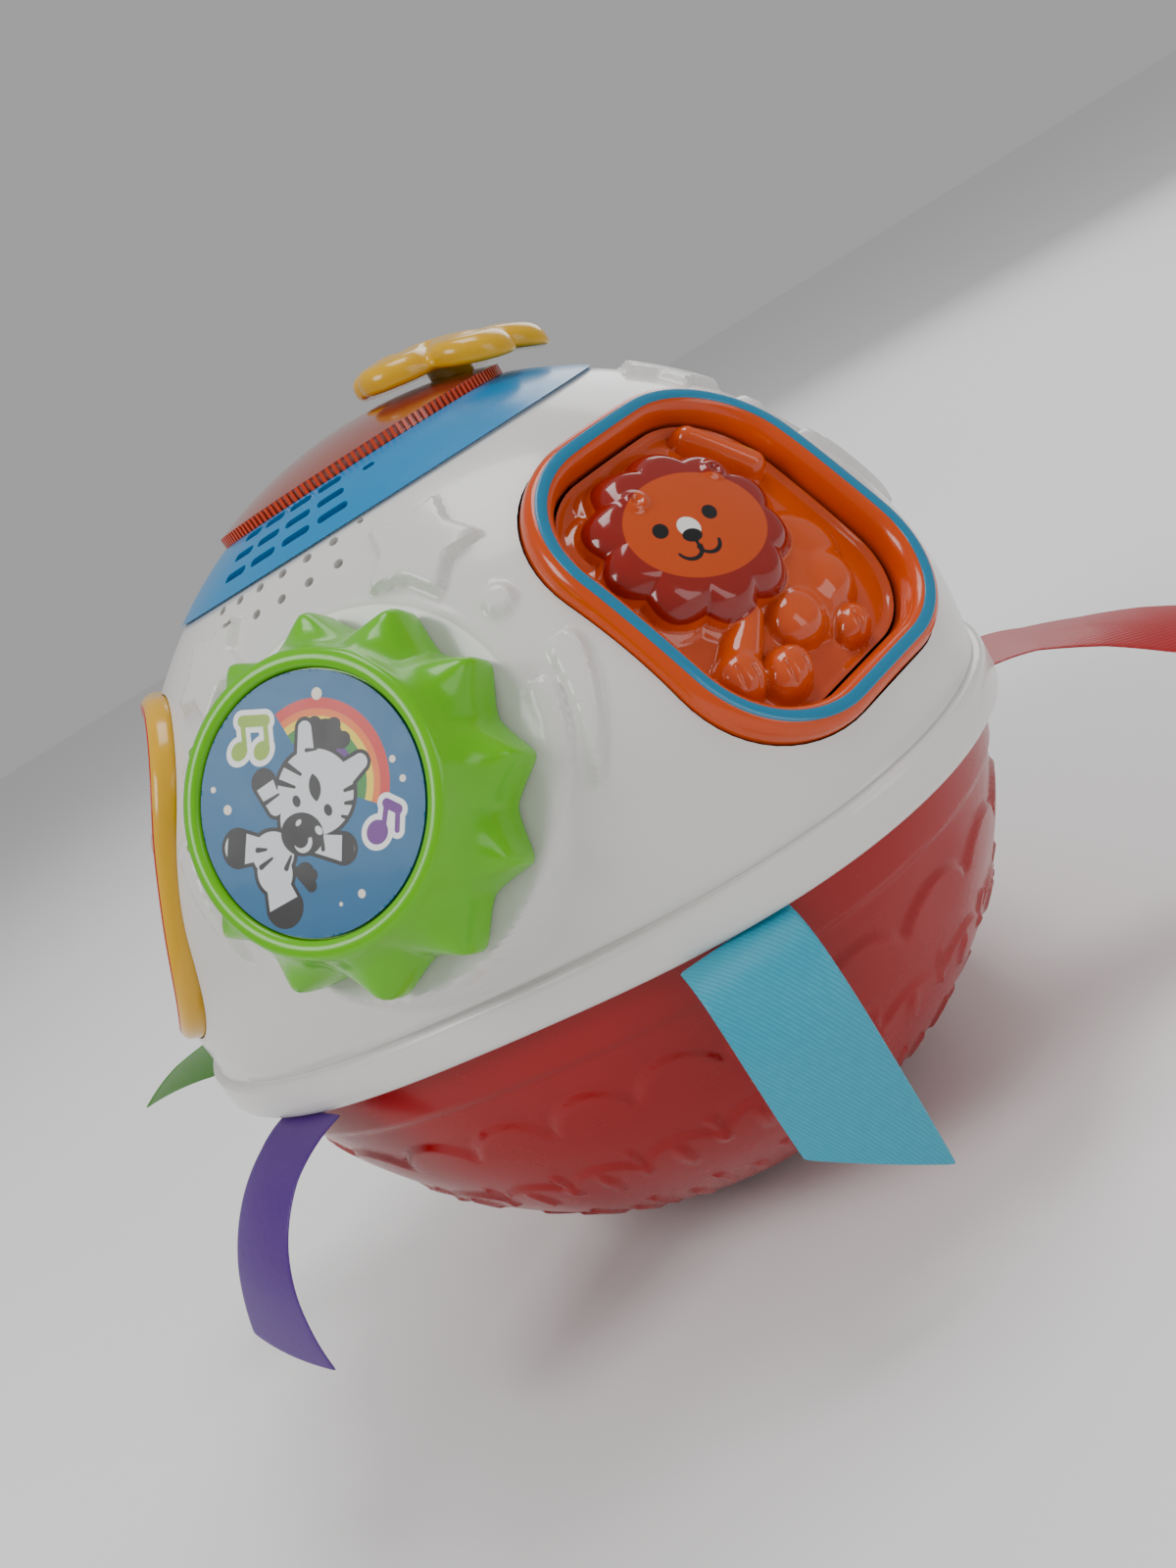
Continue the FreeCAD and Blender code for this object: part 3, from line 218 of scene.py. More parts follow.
def star_field(x, y, reach, phase, round_off=1.6):
    """Signed distance to a soft five-armed star; negative inside."""
    angle = np.arctan2(y, x) - phase
    sector = 2 * np.pi / 5
    folded = np.abs((angle + sector / 2) % sector - sector / 2)
    radius = np.hypot(x, y)
    px, py = radius * np.cos(folded), radius * np.sin(folded)
    tip = reach - round_off
    inner = 0.60 * tip
    edge = np.array([inner * math.cos(sector / 2) - tip, inner * math.sin(sector / 2)])
    edge /= np.hypot(*edge)
    return (px - tip) * edge[1] - py * edge[0] - round_off


def comet_field(x, y, start, end, near, far, head):
    """Signed distance to a tapering arc about the spinner; it runs from start to end degrees."""
    angle = np.degrees(np.arctan2(y, x))
    angle = (angle + 270) % 360 - 270 if start < -90 else (angle + 180) % 360 - 180
    share = np.clip((angle - start) / (end - start), 0, 1)
    centre_turn = np.radians(start + share * (end - start))
    reach = near + (far - near) * share
    half = head / 2 * (1 - 0.82 * share ** 1.4)
    return np.hypot(x - reach * np.cos(centre_turn), y - reach * np.sin(centre_turn)) - half


def relief(points, turn_of_face):
    """Rise of the raised decorations round one face, in millimetres."""
    rise = np.zeros(points.shape[:-1])
    for side in (1, -1):
        along, up, out = face_axes(turn_of_face + 22 * side, 48.5)
        x, y, ahead_of = points @ along * side, points @ up, points @ out
        field = star_field(x, y, 8.8, math.radians(49))
        rise = np.maximum(rise, 1.7 * smooth(0.35, -0.75, field) * (ahead_of > 0))
        along, up, out = face_axes(turn_of_face + 27 * side, 37.6)
        field = np.hypot(points @ along, points @ up) - 2.5
        rise = np.maximum(rise, 1.1 * smooth(0.35, -0.6, field) * (points @ out > 0))
        along, up, out = face_axes(turn_of_face, SPINNER_RISE)
        x, y, ahead_of = points @ along * side, points @ up, points @ out
        for start, end, near, far, head in ((5, -33, 31.2, 29.2, 4.4), (12, -20, 37.0, 34.4, 4.8)):
            field = comet_field(x, y, start, end, near, far, head)
            rise = np.maximum(rise, 1.2 * smooth(0.35, -0.65, field) * (ahead_of > 0))
    return rise


def moulded_turns():
    """Azimuths of the shell's columns, closer together where decorations are raised."""
    turns = []
    angle = -180.0
    while angle < 180.0 - 1e-6:
        turns.append(angle)
        near_face = min(abs((angle - face + 180) % 360 - 180) for face in (0, 120, -120))
        angle += 0.5 if near_face < 37.5 else 1.5
    return np.radians(np.array(turns))


turns = moulded_turns()
wall_rows = 128
wall_heights = [BAND_LOW * math.sin(math.radians(90 - 90 * k / wall_rows)) for k in range(wall_rows)]
wall_heights = [h for h in wall_heights if h > 0.9]
shell_rows = []
for height in wall_heights:
    wall = ring_points(upper_reach(height, turns), height, turns)
    push = sum(relief(wall, face) for face in (0, 120, -120))
    normal = wall / np.linalg.norm(wall, axis=-1, keepdims=True)
    shell_rows.append(wall + normal * push[..., None])
flange_profile = [(78.95, 0.55), (78.7, 0.25), (78.9, 0.0), (79.45, -0.05), (79.95, -0.3), (80.25, -0.8),
                  (80.35, -1.5), (80.35, -3.0), (80.35, -4.5), (80.3, -5.9), (80.05, -6.7), (79.6, -7.15),
                  (79.0, -7.3), (77.4, -7.3), (75.6, -7.3)]
for reach, height in flange_profile:
    shell_rows.append(ring_points(lobed(reach, 1.0, turns), height, turns))
inner_rows = 26
for step in range(inner_rows + 1):
    height = -4.0 + (BAND_LOW + 4.0) * math.sin(math.pi / 2 * step / inner_rows)
    shell_rows.append(ring_points(upper_reach(height, turns, -SHELL_WALL), height, turns))
shell_points = np.array(shell_rows)
# the spinner's land: the wall is drawn flat inside a circle about the spinner's axis
along, up, out = face_axes(0, SPINNER_RISE)
axial = shell_points @ out
beside = np.hypot(shell_points @ along, shell_points @ up)
blend = 1 - smooth(29.0, 31.2, beside)
outer_row = np.arange(len(shell_points))[:, None] < len(wall_heights)
level = np.where(outer_row, LAND, np.minimum(axial, LAND - SHELL_WALL))
blend = blend * (axial > 40) * (np.arange(len(shell_points))[:, None] != len(wall_heights))
shell_points = shell_points + out * ((level - axial) * blend)[..., None]
shell_mesh = skin_mesh("upper_shell_moulding", shell_points)


def rounded_outline(width, height, corner, steps=14):
    """Counter-clockwise outline of a rounded rectangle."""
    points = []
    for quarter, (sx, sy) in enumerate(((1, 1), (-1, 1), (-1, -1), (1, -1))):
        for step in range(steps + 1):
            angle = math.pi / 2 * (quarter + step / steps)
            points.append((sx * (width / 2 - corner) + corner * math.cos(angle),
                           sy * (height / 2 - corner) + corner * math.sin(angle)))
    return points


def closed_prism(name, base, top):
    """A closed cutter between two outlines with the same number of points."""
    mesh = bpy.data.meshes.new(name)
    count = len(base)
    sides = [(k, (k + 1) % count, count + (k + 1) % count, count + k) for k in range(count)]
    caps = [tuple(range(count))[::-1], tuple(range(count, 2 * count))]
    mesh.from_pydata((np.array(base + top) * MM + np.array(BALL_CENTRE)).tolist(), [], sides + caps)
    return bpy.data.objects.new(name, mesh)


def cutter_prism(name, width, height, corner, low, high, axes_of_face, steps=14):
    """A closed rounded prism along a face's outward axis, for cutting openings."""
    along, up, out = axes_of_face
    ring = rounded_outline(width, height, corner, steps)
    base = [along * x + up * y + out * low for x, y in ring]
    top = [along * x + up * y + out * high for x, y in ring]
    return closed_prism(name, base, top)


def carve(mesh, cutters, name):
    """Subtract closed cutters from a mesh and return the plain result."""
    target = bpy.data.objects.new(name, mesh)
    bpy.context.collection.objects.link(target)
    joined = bmesh.new()
    for cutter in cutters:
        joined.from_mesh(cutter.data)
        bpy.data.objects.remove(cutter)
    tool_mesh = bpy.data.meshes.new("tool")
    joined.to_mesh(tool_mesh)
    joined.free()
    tool = bpy.data.objects.new("tool", tool_mesh)
    bpy.context.collection.objects.link(tool)
    cut = target.modifiers.new("cut", "BOOLEAN")
    cut.operation = "DIFFERENCE"
    cut.solver = "EXACT"
    cut.use_self = False
    cut.object = tool
    graph = bpy.context.evaluated_depsgraph_get()
    result = bpy.data.meshes.new_from_object(target.evaluated_get(graph))
    bpy.data.objects.remove(target)
    bpy.data.objects.remove(tool)
    result.name = name
    result.set_sharp_from_angle(angle=math.radians(40))
    return result


openings = []
for azimuth, rise in PANELS.values():
    openings.append(cutter_prism("opening", 57.4, 61.4, 20.2, 55, 100, face_axes(azimuth, rise)))
openings.append(cutter_prism("shaft_hole", 8.4, 8.4, 4.2, 60, 100, face_axes(0, SPINNER_RISE), 4))
for rise in (56.8, 53.1):
    for step in range(6):
        hole_axes = face_axes(8.6 - 6.5 * step, rise)
        openings.append(cutter_prism("sound_hole", 1.8, 1.8, 0.9, 70, 95, hole_axes, 4))
openings.append(cutter_prism("sound_hole", 1.2, 1.2, 0.6, 70, 95, face_axes(15.2, 57.4), 4))
shell_mesh = carve(shell_mesh, openings, "upper_shell_moulding")


def moulded_plastic(name, colour, shade=0.9, roughness=0.22, coat=0.35, grain=0.02, scatter=0.0):
    """Injection-moulded plastic: a faint cloudiness in the colour and an uneven gloss."""
    finish, shader, add, two_tones, gloss_between, tie = start_finish(
        name, Specular_IOR_Level=0.34, Coat_Weight=coat, Coat_Roughness=0.06, Subsurface_Weight=scatter,
        Subsurface_Radius=(0.004, 0.003, 0.002), Subsurface_Scale=1.0)
    place = add("TexCoord").outputs["Object"]
    cloud = add("TexNoise", place, Scale=22, Detail=4)
    tones = two_tones(cloud.outputs["Fac"], shaded(colour, shade), colour)
    tie(tones.outputs["Result"], shader.inputs["Base Color"])
    wear = add("TexNoise", place, Scale=160, Detail=6)
    gloss_between(wear.outputs["Fac"], roughness - 0.05, roughness + 0.08)
    peel = add("TexNoise", place, Scale=420)
    bump = add("Bump", Strength=grain, Distance=0.0006)
    tie(peel.outputs["Fac"], bump.inputs["Height"])
    tie(bump.outputs["Normal"], shader.inputs["Normal"])
    return finish


white_abs = moulded_plastic("white_abs", (0.72, 0.70, 0.675), 0.97, 0.2, 0.2, 0.015)
upper_shell = add_piece("upper_shell_moulding", shell_mesh, white_abs)
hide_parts("upper_shell")
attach(upper_shell, "ball")


# ------------------------------------------------------------------ red lower shell
# The lower half is a red ABS bowl on the same lobed plan. A smooth band runs under the
# rim, then the wall steps in and carries raised scallops, strokes and leaves for grip.
DOOR_HEIGHT = 5.5
DOOR_SEAT = 29.0


def lower_reach(height, turn, offset=0.0):
    """Plan radius of the red form at a height below the ball centre, in millimetres."""
    share = np.clip((CENTRE_HEIGHT + height) / (CENTRE_HEIGHT - WAIST_DROP), 0, 1)
    reach = np.sqrt(np.maximum((LOWER_RADIUS + offset) ** 2 - height ** 2, 1))
    return lobed(reach, share ** 1.5, turn)


def scallop_relief(height, turn):
    """Rise of the grip pattern in millimetres, from the height and the azimuth in radians."""
    rise = 0.75 * smooth(-16.6, -15.6, height)
    pitch = 2 * np.pi / 27
    for top, phase, depth in ((-30.5, 0.0, 0.8), (-46.0, 0.5, 0.6)):
        across = (turn / pitch + phase + 0.5) % 1 - 0.5
        radius = np.sqrt(np.maximum(LOWER_RADIUS ** 2 - top ** 2, 1))
        x = across * pitch * radius
        edge = top + 9.2 - 11.6 + np.sqrt(np.maximum(9.2 ** 2 - x ** 2, 0)) * 1.15
        rise = rise + depth * smooth(0.45, -0.45, height - edge)
        stroke = np.hypot(x, np.maximum(np.abs(height - top + 9.6) - 2.6, 0)) - 0.75
        rise = rise + 0.6 * smooth(0.35, -0.45, stroke)
        beside = (turn / pitch + phase + 1.0) % 1 - 0.5
        x = beside * pitch * radius
        y = height - top + 12.0
        leaf = np.maximum(np.hypot(x - 3.2, y) - 4.6, np.hypot(x + 3.2, y) - 4.6)
        rise = rise + 0.55 * smooth(0.4, -0.5, leaf)
    return rise


bowl_turns = np.radians(np.arange(-180, 180, 0.72))
bowl_rows = []
for reach, height in ((75.6, -7.35), (76.2, -7.35), (76.5, -7.6)):
    bowl_rows.append(ring_points(lobed(reach, 1.0, bowl_turns), height, bowl_turns))
low_drop = DOOR_HEIGHT - CENTRE_HEIGHT
start_lean = math.asin(-8.0 / LOWER_RADIUS)
end_lean = math.asin(low_drop / LOWER_RADIUS)
for step in range(104):
    height = LOWER_RADIUS * math.sin(start_lean + (end_lean - start_lean) * step / 103)
    wall = ring_points(lower_reach(height, bowl_turns), height, bowl_turns)
    normal = wall / np.linalg.norm(wall, axis=-1, keepdims=True)
    push = (scallop_relief(height, bowl_turns) - 0.75) * smooth(low_drop, low_drop + 4, height)
    bowl_rows.append(wall + normal * push[..., None])
for reach, height in ((33.6, low_drop + 0.02), (29.4, low_drop + 0.02), (DOOR_SEAT, low_drop + 0.4),
                      (DOOR_SEAT, low_drop + 2.7), (DOOR_SEAT + 0.5, low_drop + 2.8)):
    bowl_rows.append(ring_points(reach, height, bowl_turns))
for step in range(25):
    inner_lean = math.asin((low_drop + 2.8) / (LOWER_RADIUS - SHELL_WALL)) * (1 - step / 24)
    inner_lean += math.asin(-7.35 / (LOWER_RADIUS - SHELL_WALL)) * step / 24
    height = (LOWER_RADIUS - SHELL_WALL) * math.sin(inner_lean)
    bowl_rows.append(ring_points(lower_reach(height, bowl_turns, -SHELL_WALL), height, bowl_turns))


def face_outwards(mesh):
    shape = bmesh.new()
    shape.from_mesh(mesh)
    bmesh.ops.recalc_face_normals(shape, faces=shape.faces)
    shape.to_mesh(mesh)
    shape.free()
    mesh.shade_smooth()
    return mesh


bowl_mesh = face_outwards(skin_mesh("lower_shell_moulding", np.array(bowl_rows)))
red_abs = moulded_plastic("red_abs", (0.33, 0.001, 0.002), 0.82, 0.24, 0.1, 0.02)
lower_shell = add_piece("lower_shell_moulding", bowl_mesh, red_abs)
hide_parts("lower_shell")
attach(lower_shell, "ball")


# ------------------------------------------------------------------ blue speaker band
# A blue ABS ring snaps over the top of the white shell. Twelve recessed slots let the sound out over a dark
# blue sheet, the slots' blue floor with painted shade in its colour, and a pin hole beside them holds the
# microphone.
BAND_RADIUS = 83.4
BAND_WALL = 2.4
FLOWER_SHIFT = 22.0
FLOWER_SIDE = 105.0
flower_x = FLOWER_SHIFT * math.sin(math.radians(FLOWER_SIDE))
flower_y = -FLOWER_SHIFT * math.cos(math.radians(FLOWER_SIDE))
ring_turns = np.radians(np.arange(-180, 180, 0.75))
band_rows = []
for lean in np.linspace(math.asin(BAND_LOW / BAND_RADIUS), math.asin(BAND_HIGH / BAND_RADIUS), 16)[1:-1]:
    band_rows.append((BAND_RADIUS * math.cos(lean), BAND_RADIUS * math.sin(lean)))
low_out = math.sqrt(BAND_RADIUS ** 2 - BAND_LOW ** 2)
top_out = math.sqrt(BAND_RADIUS ** 2 - BAND_HIGH ** 2)
low_in = math.sqrt((BAND_RADIUS - BAND_WALL) ** 2 - BAND_LOW ** 2)
top_in = math.sqrt((BAND_RADIUS - BAND_WALL) ** 2 - BAND_HIGH ** 2)
band_rows = [(low_out - 0.5, BAND_LOW), (low_out - 0.1, BAND_LOW + 0.1)] + band_rows
band_rows += [(top_out + 0.1, BAND_HIGH - 0.1), (top_out - 0.4, BAND_HIGH), (top_in + 0.6, BAND_HIGH),
              (top_in, BAND_HIGH - 0.1)]
inside = BAND_RADIUS - BAND_WALL
for lean in np.linspace(math.asin(BAND_HIGH / inside), math.asin(BAND_LOW / inside), 8)[1:-1]:
    band_rows.append((inside * math.cos(lean), inside * math.sin(lean)))
band_rows += [(low_in, BAND_LOW + 0.1), (low_in + 0.5, BAND_LOW)]
band_points = np.array([ring_points(reach, height, ring_turns) for reach, height in band_rows])
band_mesh = face_outwards(skin_mesh("speaker_band", band_points))


def curved_slot(azimuth, elevation, span, height, low, high):
    """A closed slot cutter that follows the band's own parallel."""
    outline = rounded_outline(span, height, height * 0.42, 4)
    base, top = [], []
    for x, y in outline:
        turn = azimuth + math.degrees(x / (BAND_RADIUS * math.cos(math.radians(elevation))))
        rise = elevation + math.degrees(y / BAND_RADIUS)
        out = face_axes(turn, rise)[2]
        base.append(out * low)
        top.append(out * high)
    return closed_prism("slot", base, top)


band_cutters = []
for rise in (61.2, 64.3, 67.4):
    for column in (-1.5, -0.5, 0.5, 1.5):
        span = math.radians(8.3) * BAND_RADIUS * math.cos(math.radians(rise))
        band_cutters.append(curved_slot(-6.0 + 10.6 * column, rise, span, 1.9, 78, 88))
band_cutters.append(curved_slot(22.5, 65.9, 2.2, 1.3, 78, 88))
mode_axes = face_axes(180, 65.6)
band_cutters.append(cutter_prism("mode_slot", 13.9, 4.3, 1.0, 74, 92, mode_axes, 3))
stem_axes = (np.array([1.0, 0, 0]), np.array([0, 1.0, 0]), np.array([0, 0, 1.0]))


def upright_cutter(radius, low, high):
    """An upright round cutter about the flower's stem."""
    cutter = cutter_prism("stem_hole", 2 * radius, 2 * radius, radius, low, high, stem_axes, 6)
    for vertex in cutter.data.vertices:
        vertex.co.x += flower_x * MM
        vertex.co.y += flower_y * MM
    return cutter


band_cutters.append(upright_cutter(4.45, 60, 95))
band_mesh = carve(band_mesh, band_cutters, "speaker_band")
blue_abs = moulded_plastic("blue_abs", (0.002, 0.22, 0.50), 0.9, 0.24, 0.1, 0.02)
speaker_band = add_piece("speaker_band", band_mesh, blue_abs)
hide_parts("top_band")
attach(speaker_band, "ball")

# A dark blue sheet under the slots: the blue floor of the recesses, its colour darkened as painted shade.
slot_floor_turns = np.radians(np.linspace(-30, 26, 60))
slot_floor_rows = []
for radius in (80.7, 80.2):
    for rise in np.linspace(59.6, 68.6, 12):
        lean = math.radians(rise)
        slot_floor_rows.append(ring_points(radius * math.cos(lean), radius * math.sin(lean), slot_floor_turns))
slot_floor_rows = slot_floor_rows[:12] + slot_floor_rows[12:][::-1]


def closed_skin(mesh):
    """Close the open ends of a skin and turn its faces outwards."""
    shape = bmesh.new()
    shape.from_mesh(mesh)
    bmesh.ops.holes_fill(shape, edges=[e for e in shape.edges if e.is_boundary])
    bmesh.ops.recalc_face_normals(shape, faces=shape.faces)
    shape.to_mesh(mesh)
    shape.free()
    return mesh


# Painted shade: two darker tones of the band's blue, so the slot floors read as shaded recesses.
slot_floor_shade_finish, shader, add, two_tones, _, tie = start_finish("slot_floor_painted_shade", Roughness=0.85)
floor_ripple = add("TexWave", add("TexCoord").outputs["Object"], Scale=900, Distortion=0.5)
slot_floor_shade_tone = two_tones(floor_ripple.outputs["Fac"], (0.004, 0.06, 0.14), (0.008, 0.11, 0.25))
tie(slot_floor_shade_tone.outputs["Result"], shader.inputs["Base Color"])
slot_floor_mesh = closed_skin(skin_mesh("slot_floor_painted_shade", np.array(slot_floor_rows), True, False))
slot_floor_painted_shade = add_piece("slot_floor_painted_shade", slot_floor_mesh, slot_floor_shade_finish)
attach(slot_floor_painted_shade, "ball")


# ------------------------------------------------------------------ light dome
# A clear red-orange polycarbonate cap stands on the band, polished outside. Its upright
# skirt is moulded with fine ribs; their brighter orange than the cap's is painted light, for the glow they
# catch from the lamps below.
DOME_RADIUS = 85.0
DOME_EDGE = 29.9
DOME_WALL = 2.0


def turned_mesh(name, profile, turns_round, tip):
    """A turned cap: rings of (radius, height), closed by a fan to a tip on the axis."""
    rings = [ring_points(reach, height, turns_round) for reach, height in profile]
    mesh = skin_mesh(name, np.array(rings), False, True)
    shape = bmesh.new()
    shape.from_mesh(mesh)
    shape.verts.ensure_lookup_table()
    ring = shape.verts[-len(turns_round):]
    hub = shape.verts.new(Vector((0, 0, tip)) * MM + BALL_CENTRE)
    for this_one, next_one in zip(ring, ring[1:] + ring[:1]):
        shape.faces.new((this_one, next_one, hub))
    bmesh.ops.recalc_face_normals(shape, faces=shape.faces)
    shape.to_mesh(mesh)
    shape.free()
    mesh.shade_smooth()
    return mesh


edge_height = math.sqrt(DOME_RADIUS ** 2 - DOME_EDGE ** 2)
dome_profile = [(DOME_EDGE - DOME_WALL + 0.3, BAND_HIGH), (DOME_EDGE - 0.4, BAND_HIGH + 0.02),
                (DOME_EDGE - 0.25, BAND_HIGH + 0.15), (DOME_EDGE - 0.25, edge_height - 0.6)]
for angle in np.linspace(math.asin(DOME_EDGE / DOME_RADIUS), 0.01, 40):
    dome_profile.append((DOME_RADIUS * math.sin(angle), DOME_RADIUS * math.cos(angle)))
dome_turns = np.radians(np.arange(-180, 180, 2.0))
outer_dome = turned_mesh("dome_outside", dome_profile, dome_turns, DOME_RADIUS)
inner_profile = [(DOME_EDGE - DOME_WALL + 0.3, BAND_HIGH)]
lining = DOME_RADIUS - DOME_WALL
for angle in np.linspace(math.asin((DOME_EDGE - DOME_WALL) / lining), 0.01, 24):
    inner_profile.append((lining * math.sin(angle), lining * math.cos(angle)))
inner_dome = turned_mesh("dome_inside", inner_profile, dome_turns, lining)
joined = bmesh.new()
joined.from_mesh(outer_dome)
joined.from_mesh(inner_dome)
bmesh.ops.remove_doubles(joined, verts=joined.verts, dist=1e-6)
bmesh.ops.recalc_face_normals(joined, faces=joined.faces)
dome_mesh = bpy.data.meshes.new("light_dome_cap")
joined.to_mesh(dome_mesh)
joined.free()
dome_mesh.shade_smooth()
dome_mesh = carve(dome_mesh, [upright_cutter(4.45, 75, 95)], "light_dome_cap")
clear_cap, shader, add, two_tones, _, tie = start_finish(
    "clear_red_orange", Roughness=0.16, IOR=1.5, Transmission_Weight=0.35, Coat_Weight=0.6,
    Coat_Roughness=0.05)
cap_cloud = add("TexNoise", add("TexCoord").outputs["Object"], Scale=60)
cap_tone = two_tones(cap_cloud.outputs["Fac"], (0.34, 0.045, 0.022), (0.46, 0.07, 0.035))
tie(cap_tone.outputs["Result"], shader.inputs["Base Color"])
light_dome = add_piece("light_dome_cap", dome_mesh, clear_cap)
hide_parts("light_dome")
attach(light_dome, "ball")

# the skirt's ribs: one small upright bar repeated round the edge
RIB_COUNT = 150
rib_tree = bpy.data.node_groups.new("skirt_ribs", "GeometryNodeTree")
rib_tree.interface.new_socket("Geometry", in_out="INPUT", socket_type="NodeSocketGeometry")
count_socket = rib_tree.interface.new_socket("Rib Count", in_out="INPUT", socket_type="NodeSocketInt")
edge_socket = rib_tree.interface.new_socket("Edge Radius", in_out="INPUT", socket_type="NodeSocketFloat")
rise_socket = rib_tree.interface.new_socket("Foot Height", in_out="INPUT", socket_type="NodeSocketFloat")
size_socket = rib_tree.interface.new_socket("Rib Size", in_out="INPUT", socket_type="NodeSocketVector")
coat_socket = rib_tree.interface.new_socket("Finish", in_out="INPUT", socket_type="NodeSocketMaterial")
rib_tree.interface.new_socket("Geometry", in_out="OUTPUT", socket_type="NodeSocketGeometry")
make = rib_tree.nodes.new
tie = rib_tree.links.new
entry, leave = make("NodeGroupInput"), make("NodeGroupOutput")
circle = make("GeometryNodeMeshCircle")
bar = make("GeometryNodeMeshCube")
facing = make("FunctionNodeAlignEulerToVector")
facing.axis = "X"
spot = make("GeometryNodeInputPosition")
scatter = make("GeometryNodeInstanceOnPoints")
lift = make("GeometryNodeTransform")
lift_vector = make("ShaderNodeCombineXYZ")
real = make("GeometryNodeRealizeInstances")
paint = make("GeometryNodeSetMaterial")
tie(entry.outputs["Rib Count"], circle.inputs["Vertices"])
tie(entry.outputs["Edge Radius"], circle.inputs["Radius"])
tie(entry.outputs["Rib Size"], bar.inputs["Size"])
tie(spot.outputs["Position"], facing.inputs["Vector"])
tie(circle.outputs["Mesh"], scatter.inputs["Points"])
tie(bar.outputs["Mesh"], scatter.inputs["Instance"])
tie(facing.outputs["Rotation"], scatter.inputs["Rotation"])
tie(entry.outputs["Foot Height"], lift_vector.inputs["Z"])
tie(scatter.outputs["Instances"], lift.inputs["Geometry"])
tie(lift_vector.outputs["Vector"], lift.inputs["Translation"])
tie(lift.outputs["Geometry"], real.inputs["Geometry"])
tie(real.outputs["Geometry"], paint.inputs["Geometry"])
tie(entry.outputs["Finish"], paint.inputs["Material"])
tie(paint.outputs["Geometry"], leave.inputs["Geometry"])

# Painted glow: the ribs get a brighter orange than the clear cap they belong to.
rib_glow_finish = moulded_plastic("rib_orange_painted_glow", (0.72, 0.055, 0.012), 0.8, 0.2, 0.5, 0.01)


def baked(piece):
    """Turn a piece's modifiers into its plain mesh."""
    graph = bpy.context.evaluated_depsgraph_get()
    mesh = bpy.data.meshes.new_from_object(piece.evaluated_get(graph))
    mesh.name = piece.name
    piece.modifiers.clear()
    piece.data = mesh
    return piece


dome_ribs = bpy.data.objects.new("dome_skirt_ribs", bpy.data.meshes.new("dome_skirt_ribs"))
bpy.context.collection.objects.link(dome_ribs)
grow = dome_ribs.modifiers.new("ribs", "NODES")
grow.node_group = rib_tree
grow[count_socket.identifier] = RIB_COUNT
grow[edge_socket.identifier] = (DOME_EDGE - 0.22) * MM
grow[rise_socket.identifier] = (CENTRE_HEIGHT + BAND_HIGH + 0.95) * MM
grow[size_socket.identifier] = (0.62 * MM, 0.62 * MM, 1.86 * MM)
grow[coat_socket.identifier] = rib_glow_finish
baked(dome_ribs)
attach(dome_ribs, "ball")


# ------------------------------------------------------------------ yellow flower button
# A thick yellow flower of five puffed petals sits to one side over the dome on an upright
# stem, which presses a switch on the light board below.
PETAL_RADIUS = 6.9
FLOWER_CORE = 11.0
STEM_RADIUS = 4.0
STEM_HEIGHT = 21.5
STEM_FOOT = 138.0
PETAL_LEAN = -28.0
UNDER_RADIUS = 87.05
TOP_RADIUS = 91.45
PETAL_REACH = 11.6
petal_turns = [math.radians(PETAL_LEAN + 72 * k) for k in range(5)]
petal_spots = [(PETAL_REACH * math.sin(turn), -PETAL_REACH * math.cos(turn)) for turn in petal_turns]


def petal_field(x, y):
    """Signed distance to the flower's outline; negative inside."""
    fields = [np.hypot(x - px, y - py) - PETAL_RADIUS for px, py in petal_spots]
    fields.append(np.hypot(x, y) - FLOWER_CORE)
    blend_width = 1.2
    total = sum(np.exp(-field / blend_width) for field in fields)
    return -blend_width * np.log(total)


flower_turns = np.radians(np.arange(0, 360, 1.5))
edge_reach = np.full(flower_turns.shape, 24.0)
for _ in range(60):
    field = petal_field(edge_reach * np.sin(flower_turns), -edge_reach * np.cos(flower_turns))
    edge_reach = edge_reach - np.clip(field, -1, 1) * 0.6
flower_rows = []
shares = 1 - (1 - np.linspace(0.02, 1, 34)) ** 1.8
for side, radius, rounding in ((1, TOP_RADIUS, 2.6), (-1, UNDER_RADIUS, 1.3)):
    for share in (shares if side == 1 else shares[::-1][1:]):
        x = edge_reach * share * np.sin(flower_turns)
        y = -edge_reach * share * np.cos(flower_turns)
        depth = np.clip(-petal_field(x, y), 0, None)
        bevel = rounding - np.sqrt(np.maximum(rounding ** 2 - np.maximum(rounding - depth, 0) ** 2, 0))
        crown = 0.5 * smooth(2.0, 7.0, depth) if side == 1 else 0.0
        valley = 0.0
        if side == 1:
            for turn in np.array(petal_turns) + math.radians(36):
                across = np.abs(x * math.cos(turn) + y * math.sin(turn))
                along_seam = x * math.sin(turn) - y * math.cos(turn)
                valley = valley + 0.9 * smooth(1.6, 0.0, across) * smooth(4.0, 9.0, along_seam)
        level = np.sqrt(radius ** 2 - (x + flower_x) ** 2 - (y + flower_y) ** 2)
        level = level - side * (bevel - crown) - valley
        flower_rows.append(np.stack([x + flower_x, y + flower_y, level], axis=-1))
flower_points = np.array(flower_rows)
flower_mesh = skin_mesh("flower", flower_points, False, True)
shape = bmesh.new()
shape.from_mesh(flower_mesh)
bmesh.ops.holes_fill(shape, edges=[e for e in shape.edges if e.is_boundary])
bmesh.ops.recalc_face_normals(shape, faces=shape.faces)
stem = bmesh.ops.create_cone(shape, cap_ends=True, segments=40, radius1=STEM_RADIUS * MM,
                             radius2=STEM_RADIUS * MM, depth=STEM_HEIGHT * MM)
stem_middle = (flower_x * MM, flower_y * MM, (STEM_FOOT + STEM_HEIGHT / 2) * MM)
bmesh.ops.translate(shape, verts=stem["verts"], vec=stem_middle)
shape.to_mesh(flower_mesh)
shape.free()
flower_mesh.shade_smooth()
